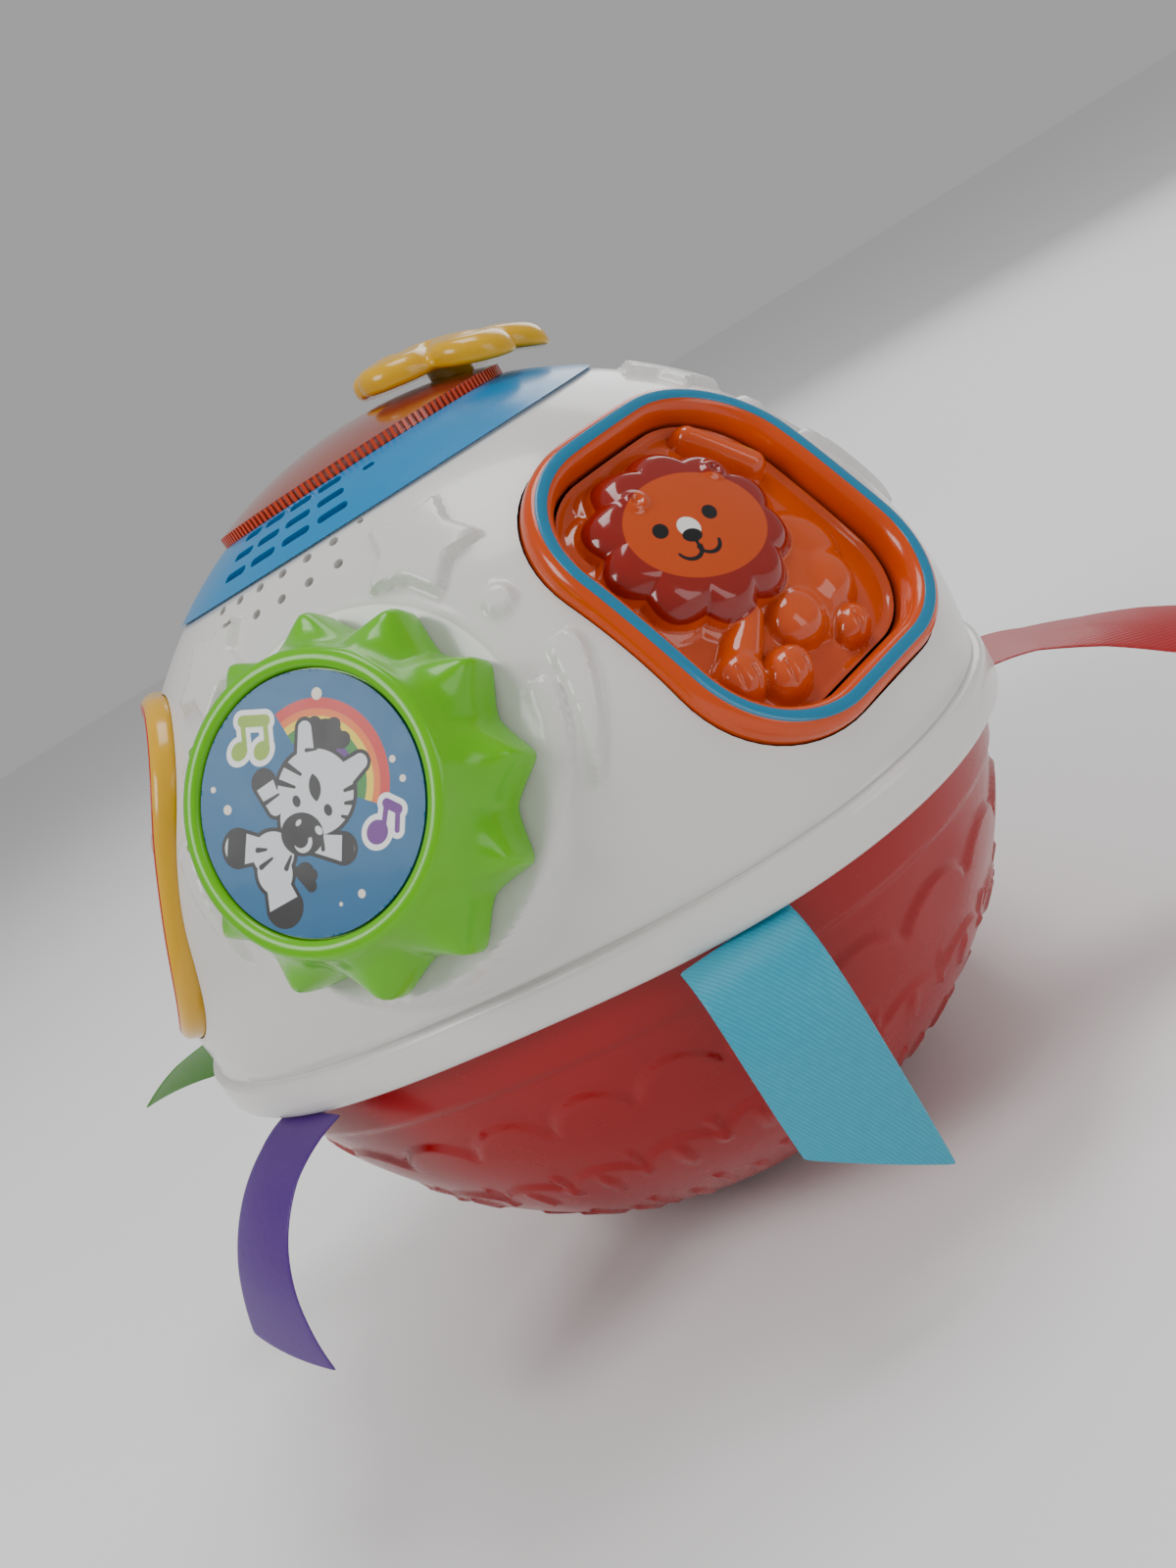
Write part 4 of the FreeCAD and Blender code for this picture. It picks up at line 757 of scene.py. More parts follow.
flower_mesh.set_sharp_from_angle(angle=math.radians(50))
yellow_abs = moulded_plastic("yellow_abs", (0.70, 0.38, 0.003), 0.88, 0.2, 0.2, 0.02, 0.15)
flower = add_piece("flower_puff", flower_mesh, yellow_abs)
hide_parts("flower_button")
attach(flower, "flower")


# ------------------------------------------------------------------ green spinner knob
# A hollow green ABS knob turns on a shaft in the white land. Twelve rounded teeth fall
# from the ring round the label to a straight skirt, with scooped hollows between them.
TOOTH_COUNT = 12
TOOTH_PHASE = 19.5


def place_on(mesh, axes_of_face):
    """Stand a shape made about the Z axis at the ball centre on a face of the ball."""
    along, up, out = axes_of_face
    turn = Matrix((along, up, out)).transposed().to_4x4()
    mesh.transform(Matrix.Translation(BALL_CENTRE) @ turn @ Matrix.Translation(-BALL_CENTRE))
    return mesh


spinner_axes = face_axes(0, SPINNER_RISE)
knob_turns = np.radians(np.arange(0, 360, 1.0))
wave = ((np.degrees(knob_turns) - TOOTH_PHASE) * TOOTH_COUNT / 360 + 0.5) % 1 - 0.5
tooth_share = np.clip(1.06 - np.hypot(wave / 0.5, 0.1), 0, 1) ** 1.7
tooth_share = tooth_share / tooth_share.max()
knob_profile = [
    (18.4, 18.4, 78.1, 78.1), (23.2, 22.6, 78.1, 78.1), (27.4, 24.0, 78.1, 78.1), (28.1, 24.6, 78.4, 78.4),
    (28.4, 24.8, 79.2, 79.2), (28.5, 24.7, 81.0, 81.0), (28.5, 24.4, 83.0, 83.0), (28.3, 24.0, 84.6, 84.4),
    (27.9, 23.6, 85.7, 85.6), (27.2, 23.2, 86.4, 86.6), (26.2, 22.8, 87.0, 87.6), (24.9, 22.4, 87.8, 88.7),
    (23.7, 22.1, 88.9, 89.8), (22.7, 21.8, 90.3, 90.9), (22.0, 21.5, 91.7, 91.9), (21.6, 21.4, 92.8, 92.9),
    (21.2, 21.2, 93.5, 93.5), (20.6, 20.6, 93.85, 93.85), (19.8, 19.8, 93.9, 93.9),
    (19.1, 19.1, 93.75, 93.75), (18.75, 18.75, 93.4, 93.4), (18.6, 18.6, 92.7, 92.7),
    (18.55, 18.55, 92.4, 92.4), (17.0, 17.0, 92.38, 92.38)]


def knob_ring(reach, height):
    """One ring of the knob; the reach and the height may vary round it."""
    x, y = reach * np.cos(knob_turns), reach * np.sin(knob_turns)
    return np.stack([x, y, height + 0 * knob_turns], axis=-1)


inner_profile = ((4.0, 88.9), (4.0, 78.3), (4.3, 78.1), (6.4, 78.1), (6.6, 78.3), (6.6, 89.3), (6.8, 89.4),
                 (18.2, 89.4), (18.4, 89.2))
knob_rows = [knob_ring(reach, height) for reach, height in inner_profile]
for tip, hollow, tip_height, hollow_height in knob_profile:
    reach = hollow + (tip - hollow) * tooth_share
    height = hollow_height + (tip_height - hollow_height) * tooth_share
    knob_rows.append(knob_ring(reach, height))
knob_mesh = closed_skin(skin_mesh("spinner_dial", np.array(knob_rows), False, True))
knob_mesh.shade_smooth()
knob_mesh.set_sharp_from_angle(angle=math.radians(60))
place_on(knob_mesh, spinner_axes)
green_abs = moulded_plastic("green_abs", (0.13, 0.50, 0.001), 0.88, 0.22, 0.15, 0.02, 0.1)
spinner_dial = add_piece("spinner_dial", knob_mesh, green_abs)
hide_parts("spinner_knob")
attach(spinner_dial, "spinner")


# ------------------------------------------------------------------ printed spinner label
# A glossy printed disc is glued in the knob's well: a dancing foal with zebra stripes in
# front of a rainbow, with two notes and a few dots. Each ink is one field on the disc.
LABEL_RADIUS = 18.3
BLACK_INK = (0.006, 0.006, 0.007)


def disc_grid(radius, step):
    count = int(radius / step)
    line = np.arange(-count, count + 1) * step
    x, y = np.meshgrid(line, line)
    far = np.hypot(x, y)
    pull = np.where(far > radius - step * 0.75, radius / np.maximum(far, 1e-6), 1.0)
    keep = far < radius + step * 0.8
    return x * pull, y * pull, keep


def capsule(x, y, ax, ay, bx, by, radius_a, radius_b=None):
    """Signed distance to a rounded limb between two points."""
    radius_b = radius_a if radius_b is None else radius_b
    dx, dy = bx - ax, by - ay
    share = np.clip(((x - ax) * dx + (y - ay) * dy) / (dx * dx + dy * dy), 0, 1)
    return np.hypot(x - ax - share * dx, y - ay - share * dy) - (radius_a + share * (radius_b - radius_a))


def oval(x, y, cx, cy, rx, ry, lean=0.0):
    turn = math.radians(lean)
    u = (x - cx) * math.cos(turn) + (y - cy) * math.sin(turn)
    v = -(x - cx) * math.sin(turn) + (y - cy) * math.cos(turn)
    near = np.hypot(u / rx, v / ry)
    return (near - 1) * min(rx, ry)


def both(*fields):
    return np.maximum.reduce(fields)


def either(*fields):
    return np.minimum.reduce(fields)


def label_inks(x, y):
    """The label's inks from the bottom one up: (name, colour, signed distance)."""
    arch = np.hypot(x - 2.2, y - 2.0)
    sweep = (np.degrees(np.arctan2(y - 2.0, x - 2.2)) + 180) % 360
    within = both(-(sweep - 140.0), sweep - 281.0) * 0.2
    inks = []
    edges = (11.7, 10.2, 9.2, 8.1, 6.6, 5.3)
    for name, colour, outer, inner in (
            ("red", (0.62, 0.02, 0.015), *edges[0:2]), ("orange", (0.80, 0.16, 0.01), *edges[1:3]),
            ("yellow", (0.86, 0.62, 0.02), *edges[2:4]), ("leaf", (0.02, 0.22, 0.025), *edges[3:5]),
            ("violet", (0.10, 0.02, 0.20), *edges[4:6])):
        inks.append((name, colour, both(arch - outer, inner - arch, within)))
    dots = [(7.3, 13.1, 0.85), (14.5, -0.1, 0.5), (14.9, -3.1, 0.5), (-13.9, 8.4, 0.45), (-12.8, 4.8, 0.7),
            (2.8, -14.5, 0.6), (-0.8, -14.5, 0.3)]
    inks.append(("cream", (0.80, 0.72, 0.62), either(*[np.hypot(x - px, y - py) - r for px, py, r in dots])))
    first = either(oval(x, y, -7.6, 11.4, 1.5, 1.25, 20), oval(x, y, -4.1, 9.9, 1.5, 1.25, 20),
                   capsule(x, y, -6.4, 11.9, -5.4, 15.1, 0.42), capsule(x, y, -2.9, 10.4, -1.9, 13.6, 0.42),
                   capsule(x, y, -5.4, 15.0, -1.9, 13.5, 0.85))
    second = either(oval(x, y, 8.4, -8.0, 1.75, 1.6, 20), capsule(x, y, 9.8, -7.4, 11.4, -4.9, 0.4),
                    capsule(x, y, 11.3, -9.0, 12.6, -6.4, 0.4), capsule(x, y, 11.3, -5.1, 12.6, -6.5, 0.7))
    inks.append(("note_edge", (0.84, 0.86, 0.84), either(first, second) - 0.75))
    inks.append(("note_green", (0.26, 0.42, 0.02), first))
    inks.append(("note_purple", (0.13, 0.012, 0.22), second))
    tail = either(capsule(x, y, -6.8, -6.9, -4.4, -8.4, 0.7), oval(x, y, -3.6, -9.2, 1.1, 0.9, 30),
                  capsule(x, y, -4.4, -8.4, -4.2, -10.4, 1.5, 0.9))
    trunk = either(oval(x, y, -8.2, -3.9, 3.6, 3.2, -20), oval(x, y, -9.0, -6.4, 3.0, 3.2, 0))
    near_arm = capsule(x, y, -5.2, 1.8, -5.6, 5.6, 1.3, 1.7)
    far_arm = capsule(x, y, -1.6, -5.2, 2.6, -7.8, 1.3, 1.9)
    near_leg = capsule(x, y, -9.6, -2.6, -13.2, -0.9, 1.6, 2.5)
    far_leg = capsule(x, y, -9.2, -7.6, -9.4, -11.2, 1.9, 2.7)
    skull = either(oval(x, y, 1.6, 1.0, 6.3, 6.0, -30), oval(x, y, -1.4, -1.4, 4.4, 4.0, 40))
    ears = either(capsule(x, y, 2.0, 5.6, 3.6, 9.6, 1.6, 1.2), capsule(x, y, 7.2, 1.2, 9.8, 1.7, 1.7, 1.25))
    coat = either(trunk, near_arm, far_arm, near_leg, far_leg, skull, ears)
    mane = either(oval(x, y, 6.4, 7.2, 2.6, 2.3, -40), oval(x, y, 5.2, 9.4, 1.3, 1.2),
                  oval(x, y, 7.9, 8.0, 1.3, 1.1), oval(x, y, 8.4, 5.6, 1.4, 1.2),
                  capsule(x, y, 6.2, 7.4, 3.2, 3.6, 1.6, 0.4))
    inks.append(("outline", BLACK_INK, either(coat - 0.45, tail, mane)))
    inks.append(("coat", (0.62, 0.66, 0.68), coat + 0.12))
    stripe_list = []
    for ax, ay, bx, by, thick in (
            (-1.4, 6.6, 0.4, 4.2, 0.5), (-3.2, 4.6, -1.2, 3.0, 0.45), (7.6, -3.2, 5.4, -2.4, 0.5),
            (8.2, -1.0, 6.0, -0.8, 0.5), (5.8, -5.0, 4.2, -3.8, 0.45), (-10.8, -4.8, -8.6, -4.4, 0.4),
            (-10.4, -2.4, -9.0, -2.9, 0.4), (-7.0, -6.6, -5.6, -5.4, 0.4), (-6.6, 3.0, -4.0, 3.2, 0.35),
            (-0.4, -6.6, 0.2, -5.0, 0.35), (2.6, 6.8, 4.2, 6.2, 0.3)):
        stripe_list.append(capsule(x, y, ax, ay, bx, by, thick, thick * 0.5))
    blaze = both(np.hypot(x - 3.4, y - 1.2) - 2.6, np.hypot(x - 0.4, y - 1.9) - 2.4)
    stripes = both(either(*stripe_list, blaze), coat - 0.2)
    hoofs = either(both(near_leg, capsule(x, y, -12.0, 2.2, -15.0, -3.4, 1.55)),
                   both(far_leg, capsule(x, y, -12.0, -12.6, -6.6, -12.4, 1.6)),
                   both(near_arm, capsule(x, y, -8.0, 6.2, -3.4, 6.6, 1.1)),
                   both(far_arm, capsule(x, y, 2.2, -10.4, 4.4, -5.8, 1.0)))
    muzzle = oval(x, y, -2.7, -3.4, 3.5, 3.0, -30)
    eyes = either(oval(x, y, -1.7, 1.1, 0.65, 0.85), oval(x, y, 2.5, -2.1, 0.65, 0.85))
    inks.append(("stripes", BLACK_INK, either(stripes, hoofs, muzzle, eyes)))
    shine = either(oval(x, y, -2.6, -1.7, 0.55, 0.35, 20), oval(x, y, 0.0, -4.0, 0.5, 0.7, 20),
                   both(np.hypot(x + 3.0, y + 4.4) - 1.5, 1.25 - np.hypot(x + 3.2, y + 3.9), y + 4.3))
    inks.append(("shine", (0.66, 0.68, 0.70), shine))
    return inks


def printed_finish(name, ground, inks, roughness=0.2, edge=0.045, coat=0.15):
    """A glossy print: each ink covers the last where its field on the surface is negative."""
    finish, shader, add, two_tones, gloss_between, tie = start_finish(
        name, Specular_IOR_Level=0.3, Coat_Weight=coat, Coat_Roughness=0.05)
    place = add("TexCoord").outputs["Object"]
    cloud = add("TexNoise", place, Scale=90)
    top = two_tones(cloud.outputs["Fac"], shaded(ground, 0.88), ground)
    for ink_name, colour, _ in inks:
        field = add("Attribute")
        field.attribute_name = ink_name
        cover = add("MapRange", From_Min=edge, From_Max=-edge)
        tie(field.outputs["Fac"], cover.inputs["Value"])
        layer = two_tones(cover.outputs["Result"], colour, colour)
        tie(top.outputs["Result"], layer.inputs["A"])
        top = layer
    tie(top.outputs["Result"], shader.inputs["Base Color"])
    grain = add("TexNoise", place, Scale=300)
    gloss_between(grain.outputs["Fac"], roughness - 0.04, roughness + 0.06)
    return finish


def carry_fields(mesh, inks):
    for ink_name, _, field in inks:
        layer = mesh.attributes.new(ink_name, "FLOAT", "POINT")
        layer.data.foreach_set("value", np.clip(field, -2, 2).astype(np.float32).ravel())


def plate_mesh(name, x, y, keep, top, bottom):
    """A closed plate over the kept points of a grid: a shaped top, a flat back and walls."""
    index = np.full(x.shape, -1)
    index[keep] = np.arange(keep.sum())
    a, b = index[:-1, :-1], index[:-1, 1:]
    c, d = index[1:, 1:], index[1:, :-1]
    whole = (a >= 0) & (b >= 0) & (c >= 0) & (d >= 0)
    quads = np.stack([a[whole], b[whole], c[whole], d[whole]], axis=-1)
    points = np.stack([x[keep], y[keep], top[keep]], axis=-1)
    mesh = bpy.data.meshes.new(name)
    mesh.from_pydata((points * MM + np.array(BALL_CENTRE)).tolist(), [], quads.tolist())
    shape = bmesh.new()
    shape.from_mesh(mesh)
    rim = [e for e in shape.edges if e.is_boundary]
    pulled = bmesh.ops.extrude_edge_only(shape, edges=rim)
    lower = [v for v in pulled["geom"] if isinstance(v, bmesh.types.BMVert)]
    for vertex in lower:
        vertex.co.z = bottom * MM + BALL_CENTRE.z
    last = [e for e in pulled["geom"] if isinstance(e, bmesh.types.BMEdge)]
    bmesh.ops.holes_fill(shape, edges=last)
    bmesh.ops.delete(shape, geom=[v for v in shape.verts if not v.link_faces], context="VERTS")
    bmesh.ops.recalc_face_normals(shape, faces=shape.faces)
    shape.to_mesh(mesh)
    shape.free()
    mesh.shade_smooth()
    mesh.set_sharp_from_angle(angle=math.radians(50))
    return mesh


def fields_at(mesh, inks_of):
    """Work out a print's inks at the mesh's own points, before it is placed."""
    co = np.zeros(len(mesh.vertices) * 3)
    mesh.vertices.foreach_get("co", co)
    co = co.reshape(-1, 3) / MM
    return inks_of(co[:, 0], co[:, 1])


grid_x, grid_y, keep = disc_grid(LABEL_RADIUS, 0.17)
label_mesh = plate_mesh("label_disc", grid_x, grid_y, keep, np.full(grid_x.shape, 93.2), 92.4)
inks = fields_at(label_mesh, label_inks)
carry_fields(label_mesh, inks)
place_on(label_mesh, spinner_axes)
label_print = printed_finish("label_print", (0.001, 0.12, 0.28), inks, 0.34, 0.045, 0.05)
label_disc = add_piece("label_disc", label_mesh, label_print)
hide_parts("spinner_label")
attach(label_disc, "spinner")


# ------------------------------------------------------------------ press panel trims
# Each press panel has a rolled ABS trim ring that follows the lobe of the shell, with a
# thin contrast stripe laid in a groove along its crest.
PANEL_WIDTH, PANEL_HEIGHT, PANEL_CORNER = 57.0, 61.0, 20.0
PANEL_FACE = 81.6
TRIM_FOOT = 74.2


def panel_outline(inset):
    """Evenly stepped outline of the panel at an inset from its edge: an arc, then a straight."""
    w, h, r = PANEL_WIDTH / 2 - inset, PANEL_HEIGHT / 2 - inset, PANEL_CORNER - inset
    corners = np.array([(w - r, h - r), (r - w, h - r), (r - w, r - h), (w - r, r - h)])
    points = []
    for quarter in range(4):
        this_corner, next_corner = corners[quarter], corners[(quarter + 1) % 4]
        for step in range(24):
            angle = math.pi / 2 * (quarter + step / 24)
            points.append(this_corner + r * np.array([math.cos(angle), math.sin(angle)]))
        angle = math.pi / 2 * (quarter + 1)
        lip = r * np.array([math.cos(angle), math.sin(angle)])
        for step in range(16):
            points.append(this_corner + lip + (next_corner - this_corner) * step / 16)
    return np.array(points)


def wall_level(x, y, axes_of_face, swell):
    """How far out along a face's axis the white form lies, swollen by a given amount."""
    along, up, out = axes_of_face
    low, high = np.full(x.shape, 40.0), np.full(x.shape, 110.0)
    for _ in range(36):
        middle = (low + high) / 2
        spots = x[..., None] * along + y[..., None] * up + middle[..., None] * out
        reach = upper_reach(spots[..., 2], np.arctan2(spots[..., 0], -spots[..., 1]), swell)
        inside = np.hypot(spots[..., 0], spots[..., 1]) < reach
        low, high = np.where(inside, middle, low), np.where(inside, high, middle)
    return low


def crest_level(x, y, axes_of_face):
    level = wall_level(x, y, axes_of_face, 3.0)
    return PANEL_FACE - np.log1p(np.exp((PANEL_FACE - level) / 0.8)) * 0.8


def on_face(rows, axes_of_face):
    """Move points given as right, up and out of a face into the ball's own axes."""
    return np.asarray(rows) @ np.array(axes_of_face)


def ring_sweep(name, section, axes_of_face):
    """Sweep a section of (inset, level from the crest or None for the foot) round a panel."""
    middle = panel_outline(2.4)
    crest = crest_level(middle[:, 0], middle[:, 1], axes_of_face)
    rows = []
    for inset, level in section:
        line = panel_outline(inset)
        height = np.full(crest.shape, TRIM_FOOT) if level is None else crest + level
        rows.append(np.stack([line[:, 0], line[:, 1], height], axis=-1))
    return face_outwards(skin_mesh(name, on_face(rows, axes_of_face)))


trim_section = [(0.3, None), (0.05, -3.2), (0.05, -2.2), (0.2, -1.3), (0.6, -0.6), (1.1, -0.2), (1.7, 0.0),
                (2.4, 0.06), (3.1, -0.02), (3.7, -0.25), (4.2, -0.7), (4.6, -1.4), (4.9, -2.4), (5.1, -3.6),
                (5.2, None)]
stripe_section = [(1.35, -0.5), (1.35, -0.02), (1.5, 0.08), (2.3, 0.16), (3.1, 0.08), (3.25, -0.02),
                  (3.25, -0.5)]
trim_paint = {"lion": ((0.62, 0.065, 0.003), "orange_plastic"),
              "elephant": ((0.012, 0.26, 0.27), "teal_plastic"),
              "monkey": ((0.78, 0.42, 0.018), "yellow_plastic")}
stripe_paint = {"lion": ((0.012, 0.20, 0.36), "blue_plastic"),
                "elephant": ((0.30, 0.19, 0.50), "lilac_plastic"),
                "monkey": ((0.55, 0.02, 0.02), "red_plastic")}
ring_kinds = (("trim", trim_section, trim_paint), ("stripe", stripe_section, stripe_paint))
for animal, (azimuth, rise) in PANELS.items():
    panel_axes = face_axes(azimuth, rise)
    for part, section, paints in ring_kinds:
        colour, colour_slot = paints[animal]
        mesh = ring_sweep(animal + "_" + part + "_ring", section, panel_axes)
        finish = moulded_plastic(animal + "_" + part + "_abs", colour, 0.85, 0.18, 0.2, 0.015, 0.1)
        ring = add_piece(animal + "_" + part + "_ring", mesh, finish)
        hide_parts(animal + "_" + part)
        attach(ring, "ball")


# ------------------------------------------------------------------ animal press buttons
# Each button is one clear coloured moulding that floats in its trim: a dish with an
# animal in high relief, printed from behind with its mane, ears or face.
DISH_WIDTH, DISH_HEIGHT, DISH_CORNER = 45.7, 49.7, 14.35
DISH_FLOOR = 76.9


def rounded_field(x, y, width, height, corner):
    px, py = np.abs(x) - (width / 2 - corner), np.abs(y) - (height / 2 - corner)
    return np.hypot(np.maximum(px, 0), np.maximum(py, 0)) + np.minimum(np.maximum(px, py), 0) - corner


def lump(field, height, roundness):
    """A raised form with rounded shoulders inside a field's zero line."""
    inside = np.clip(-field / roundness, 0, 1)
    return height * np.sqrt(1 - (1 - inside) ** 2)


def heaped(*lumps):
    """Blend raised forms so that they run into each other with a soft valley."""
    total = sum(np.exp(np.asarray(each) / 0.45) for each in lumps)
    return 0.45 * np.log(total) - 0.45 * math.log(len(lumps))


def lobes(x, y, cx, cy, rx, ry, count, wave_height, phase):
    """An oval whose edge runs in rounded lobes, as a mane does."""
    angle = np.arctan2((y - cy) / ry, (x - cx) / rx)
    near = np.hypot((x - cx) / rx, (y - cy) / ry)
    wave = np.abs(np.cos(count / 2 * angle + phase))
    return (near - 1) * min(rx, ry) - wave_height * wave + wave_height * 0.5


def mound(x, y, spot, reach, lean, height, roundness):
    """A raised oval form at a spot."""
    return lump(oval(x, y, *spot, *reach, lean), height, roundness)


def pair(x, y, cx, cy, rx, ry, lean=0):
    """The same oval on both sides of the middle; the lean is the left one's."""
    return either(oval(x, y, -cx, cy, rx, ry, lean), oval(x, y, cx, cy, rx, ry, -lean))


def lion_shape(x, y):
    """The lion's relief and its inks: head to the left, body and paws to the right and below."""
    mane = lobes(x, y, -3.9, 6.6, 17.4, 15.8, 10, 1.9, 0.4)
    face = oval(x, y, -4.4, 6.4, 12.4, 9.6, -14)
    crown = 1.9 * np.sqrt(np.clip(1 - ((x + 4) / 19) ** 2 - ((y - 6.5) / 17) ** 2, 0, 1))
    rump, thigh, chest = (6.0, -10.5), (9.6, -12.6), (-1.2, -13.6)
    paw, second_paw, back_paw, back = (-17.6, -14.4), (-10.6, -18.6), (6.0, -20.2), (13.4, -5.4)
    form = heaped(
        lump(mane - 1.7, 1.6, 2.0), lump(mane, 4.9, 4.2) + crown * (mane < 0),
        mound(x, y, rump, (11.0, 8.5), 35, 3.4, 6.0), mound(x, y, thigh, (6.4, 5.4), 30, 4.6, 4.5),
        mound(x, y, chest, (5.6, 5.2), 20, 4.6, 4.0),
        lump(capsule(x, y, -8.0, -8.5, -15.4, -12.8, 3.0, 3.6), 4.3, 3.2),
        mound(x, y, paw, (4.7, 4.4), 25, 5.2, 3.6), mound(x, y, second_paw, (5.3, 4.3), 15, 5.4, 3.6),
        mound(x, y, back_paw, (4.3, 3.5), 20, 4.8, 3.2), mound(x, y, back, (5.6, 7.0), 20, 3.8, 4.6),
        lump(capsule(x, y, 13.6, 20.0, 18.6, 9.6, 2.6, 2.9), 4.9, 2.5))
    for px, py in ((-8.9, 15.0), (7.0, 11.4)):
        near = np.hypot(x - px, y - py)
        form = form + 0.7 * smooth(2.6, 1.2, near) - 0.5 * smooth(1.2, 0.3, near)
    for px, py in ((-19.6, -15.8), (-17.4, -17.2), (-12.8, -20.4), (-9.8, -21.4), (4.6, -22.0), (7.4, -21.6)):
        groove = capsule(x, y, px, py, px + 0.9, py + 2.6, 0.3)
        form = form - 0.45 * smooth(0.35, -0.25, groove)
    lips = [both(np.hypot(x - px, y - py) - 2.35, 1.85 - np.hypot(x - px, y - py - 0.2),
                 y - py + 0.2 + (x - px) * 0.28) for px, py in ((-9.6, 4.2), (-6.3, 3.2))]
    features = either(oval(x, y, -10.6, 8.9, 1.45, 1.25, 20), oval(x, y, -1.4, 6.4, 1.45, 1.25, 20),
                      oval(x, y, -7.3, 5.3, 1.7, 1.2, -20), capsule(x, y, -7.6, 4.6, -8.0, 3.3, 0.28), *lips)
    inks = [("mane", (0.25, 0.010, 0.005), mane + 0.5), ("face", (0.52, 0.060, 0.003), face),
            ("patch", (0.80, 0.78, 0.74), oval(x, y, -6.5, 6.6, 1.9, 1.9, -20)),
            ("tail_top", (0.85, 0.42, 0.05), capsule(x, y, 16.4, 20.2, 19.6, 11.4, 1.0)),
            ("features", BLACK_INK, features)]
    return form, inks


def elephant_shape(x, y):
    """The elephant sits facing out, with its trunk curled to one side."""
    ears = pair(x, y, 12.6, 6.5, 8.2, 10.4, 12)
    trunk = either(capsule(x, y, 0, 3.5, 0.4, -6.5, 4.0, 2.9), capsule(x, y, 0.4, -6.5, 5.2, -10.2, 2.9, 2.3))
    form = heaped(lump(ears - 0.4, 3.4, 3.2), mound(x, y, (0, 7.5), (10.2, 11.0), 0, 5.6, 5.5),
                  lump(trunk, 6.4, 3.0), mound(x, y, (0, -13.0), (13.0, 8.6), 0, 3.6, 6.0),
                  *[mound(x, y, (px, -18.0), (5.0, 4.4), 0, 5.0, 3.6) for px in (-10.6, 10.6)])
    for level in (-1.5, -4.0, -6.5):
        ridge = np.abs(y - level - 0.12 * x ** 2) - 0.25
        form = form - 0.4 * smooth(0.35, -0.2, ridge) * (trunk < -0.4)
    inks = [("inner_ear", (0.45, 0.16, 0.30), pair(x, y, 13.6, 6.0, 5.2, 7.2, 12)),
            ("toes", (0.70, 0.72, 0.70),
             either(*[pair(x, y, px, -20.6, 1.0, 1.2) for px in (8.4, 10.6, 12.8)])),
            ("cheeks", (0.55, 0.20, 0.36), pair(x, y, 7.0, 4.2, 1.8, 1.4)),
            ("eyes", BLACK_INK, pair(x, y, 5.0, 8.6, 1.2, 1.5))]
    return form, inks


def monkey_shape(x, y):
    """The monkey sits facing out with both arms held away from its body."""
    ears = pair(x, y, 13.6, 8.0, 5.4, 5.6)
    head = oval(x, y, 0, 8.0, 12.6, 11.8)
    mask = either(pair(x, y, 4.2, 10.6, 5.0, 5.0), oval(x, y, 0, 3.6, 8.8, 5.6),
                  pair(x, y, 13.6, 8.0, 2.8, 3.0))
    form = heaped(lump(ears, 3.8, 2.8), lump(head, 5.6, 5.5), mound(x, y, (0, 3.4), (7.6, 4.8), 0, 6.4, 4.4),
                  mound(x, y, (0, -12.4), (10.0, 8.6), 0, 3.9, 6.0),
                  *[lump(capsule(x, y, 9 * side, -7, 15.5 * side, -13.5, 2.6), 4.2, 2.6) for side in (-1, 1)],
                  *[mound(x, y, (8.0 * side, -19.6), (5.0, 3.6), 0, 4.8, 3.2) for side in (-1, 1)])
    smile = both(np.hypot(x, y - 5.6) - 4.4, 3.9 - np.hypot(x, y - 5.6), y - 3.6)
    inks = [("fur", (0.24, 0.075, 0.02), either(head, ears) + 0.4), ("mask", (0.75, 0.42, 0.20), mask),
            ("features", BLACK_INK,
             either(pair(x, y, 4.2, 9.8, 1.2, 1.5), oval(x, y, 0, 5.2, 1.5, 0.8), smile))]
    return form, inks


animals = {"lion": (lion_shape, (0.60, 0.075, 0.009), "clear_orange"),
           "elephant": (elephant_shape, (0.03, 0.33, 0.34), "clear_teal"),
           "monkey": (monkey_shape, (0.80, 0.44, 0.03), "clear_yellow")}
dish_step = 0.3
across = np.arange(-DISH_WIDTH / 2 - dish_step, DISH_WIDTH / 2 + dish_step, dish_step)
upward = np.arange(-DISH_HEIGHT / 2 - dish_step, DISH_HEIGHT / 2 + dish_step, dish_step)
dish_x, dish_y = np.meshgrid(across, upward)
edge_field = rounded_field(dish_x, dish_y, DISH_WIDTH, DISH_HEIGHT, DISH_CORNER)
slope_y, slope_x = np.gradient(edge_field, dish_step)
pull = np.maximum(edge_field, 0)
dish_keep = edge_field < dish_step * 0.9
dish_x = dish_x - slope_x * pull
dish_y = dish_y - slope_y * pull
edge_field = np.minimum(edge_field, 0)
for animal, (shape_of, colour, colour_slot) in animals.items():
    form, _ = shape_of(dish_x, dish_y)
    floor_level = DISH_FLOOR - (dish_x ** 2 + dish_y ** 2) / 420 + 0.8 * smooth(-1.6, 0, edge_field)
    fade = smooth(0, -1.4, edge_field)
    mesh = plate_mesh(animal + "_press", dish_x, dish_y, dish_keep, floor_level + form * fade, 72.7)
    inks = fields_at(mesh, lambda px, py, shape_of=shape_of: shape_of(px, py)[1])
    carry_fields(mesh, inks)
    place_on(mesh, face_axes(*PANELS[animal]))
    finish = printed_finish(animal + "_print", colour, inks, 0.13, 0.07, 0.5)
    set_inputs(finish.node_tree.nodes["Principled BSDF"], {
        "Subsurface Weight": 0.12, "Subsurface Radius": (0.003, 0.0015, 0.001), "Subsurface Scale": 1.0})
    press = add_piece(animal + "_press", mesh, finish)
    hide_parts(animal + "_button", animal + "_face")
    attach(press, animal + "_press")


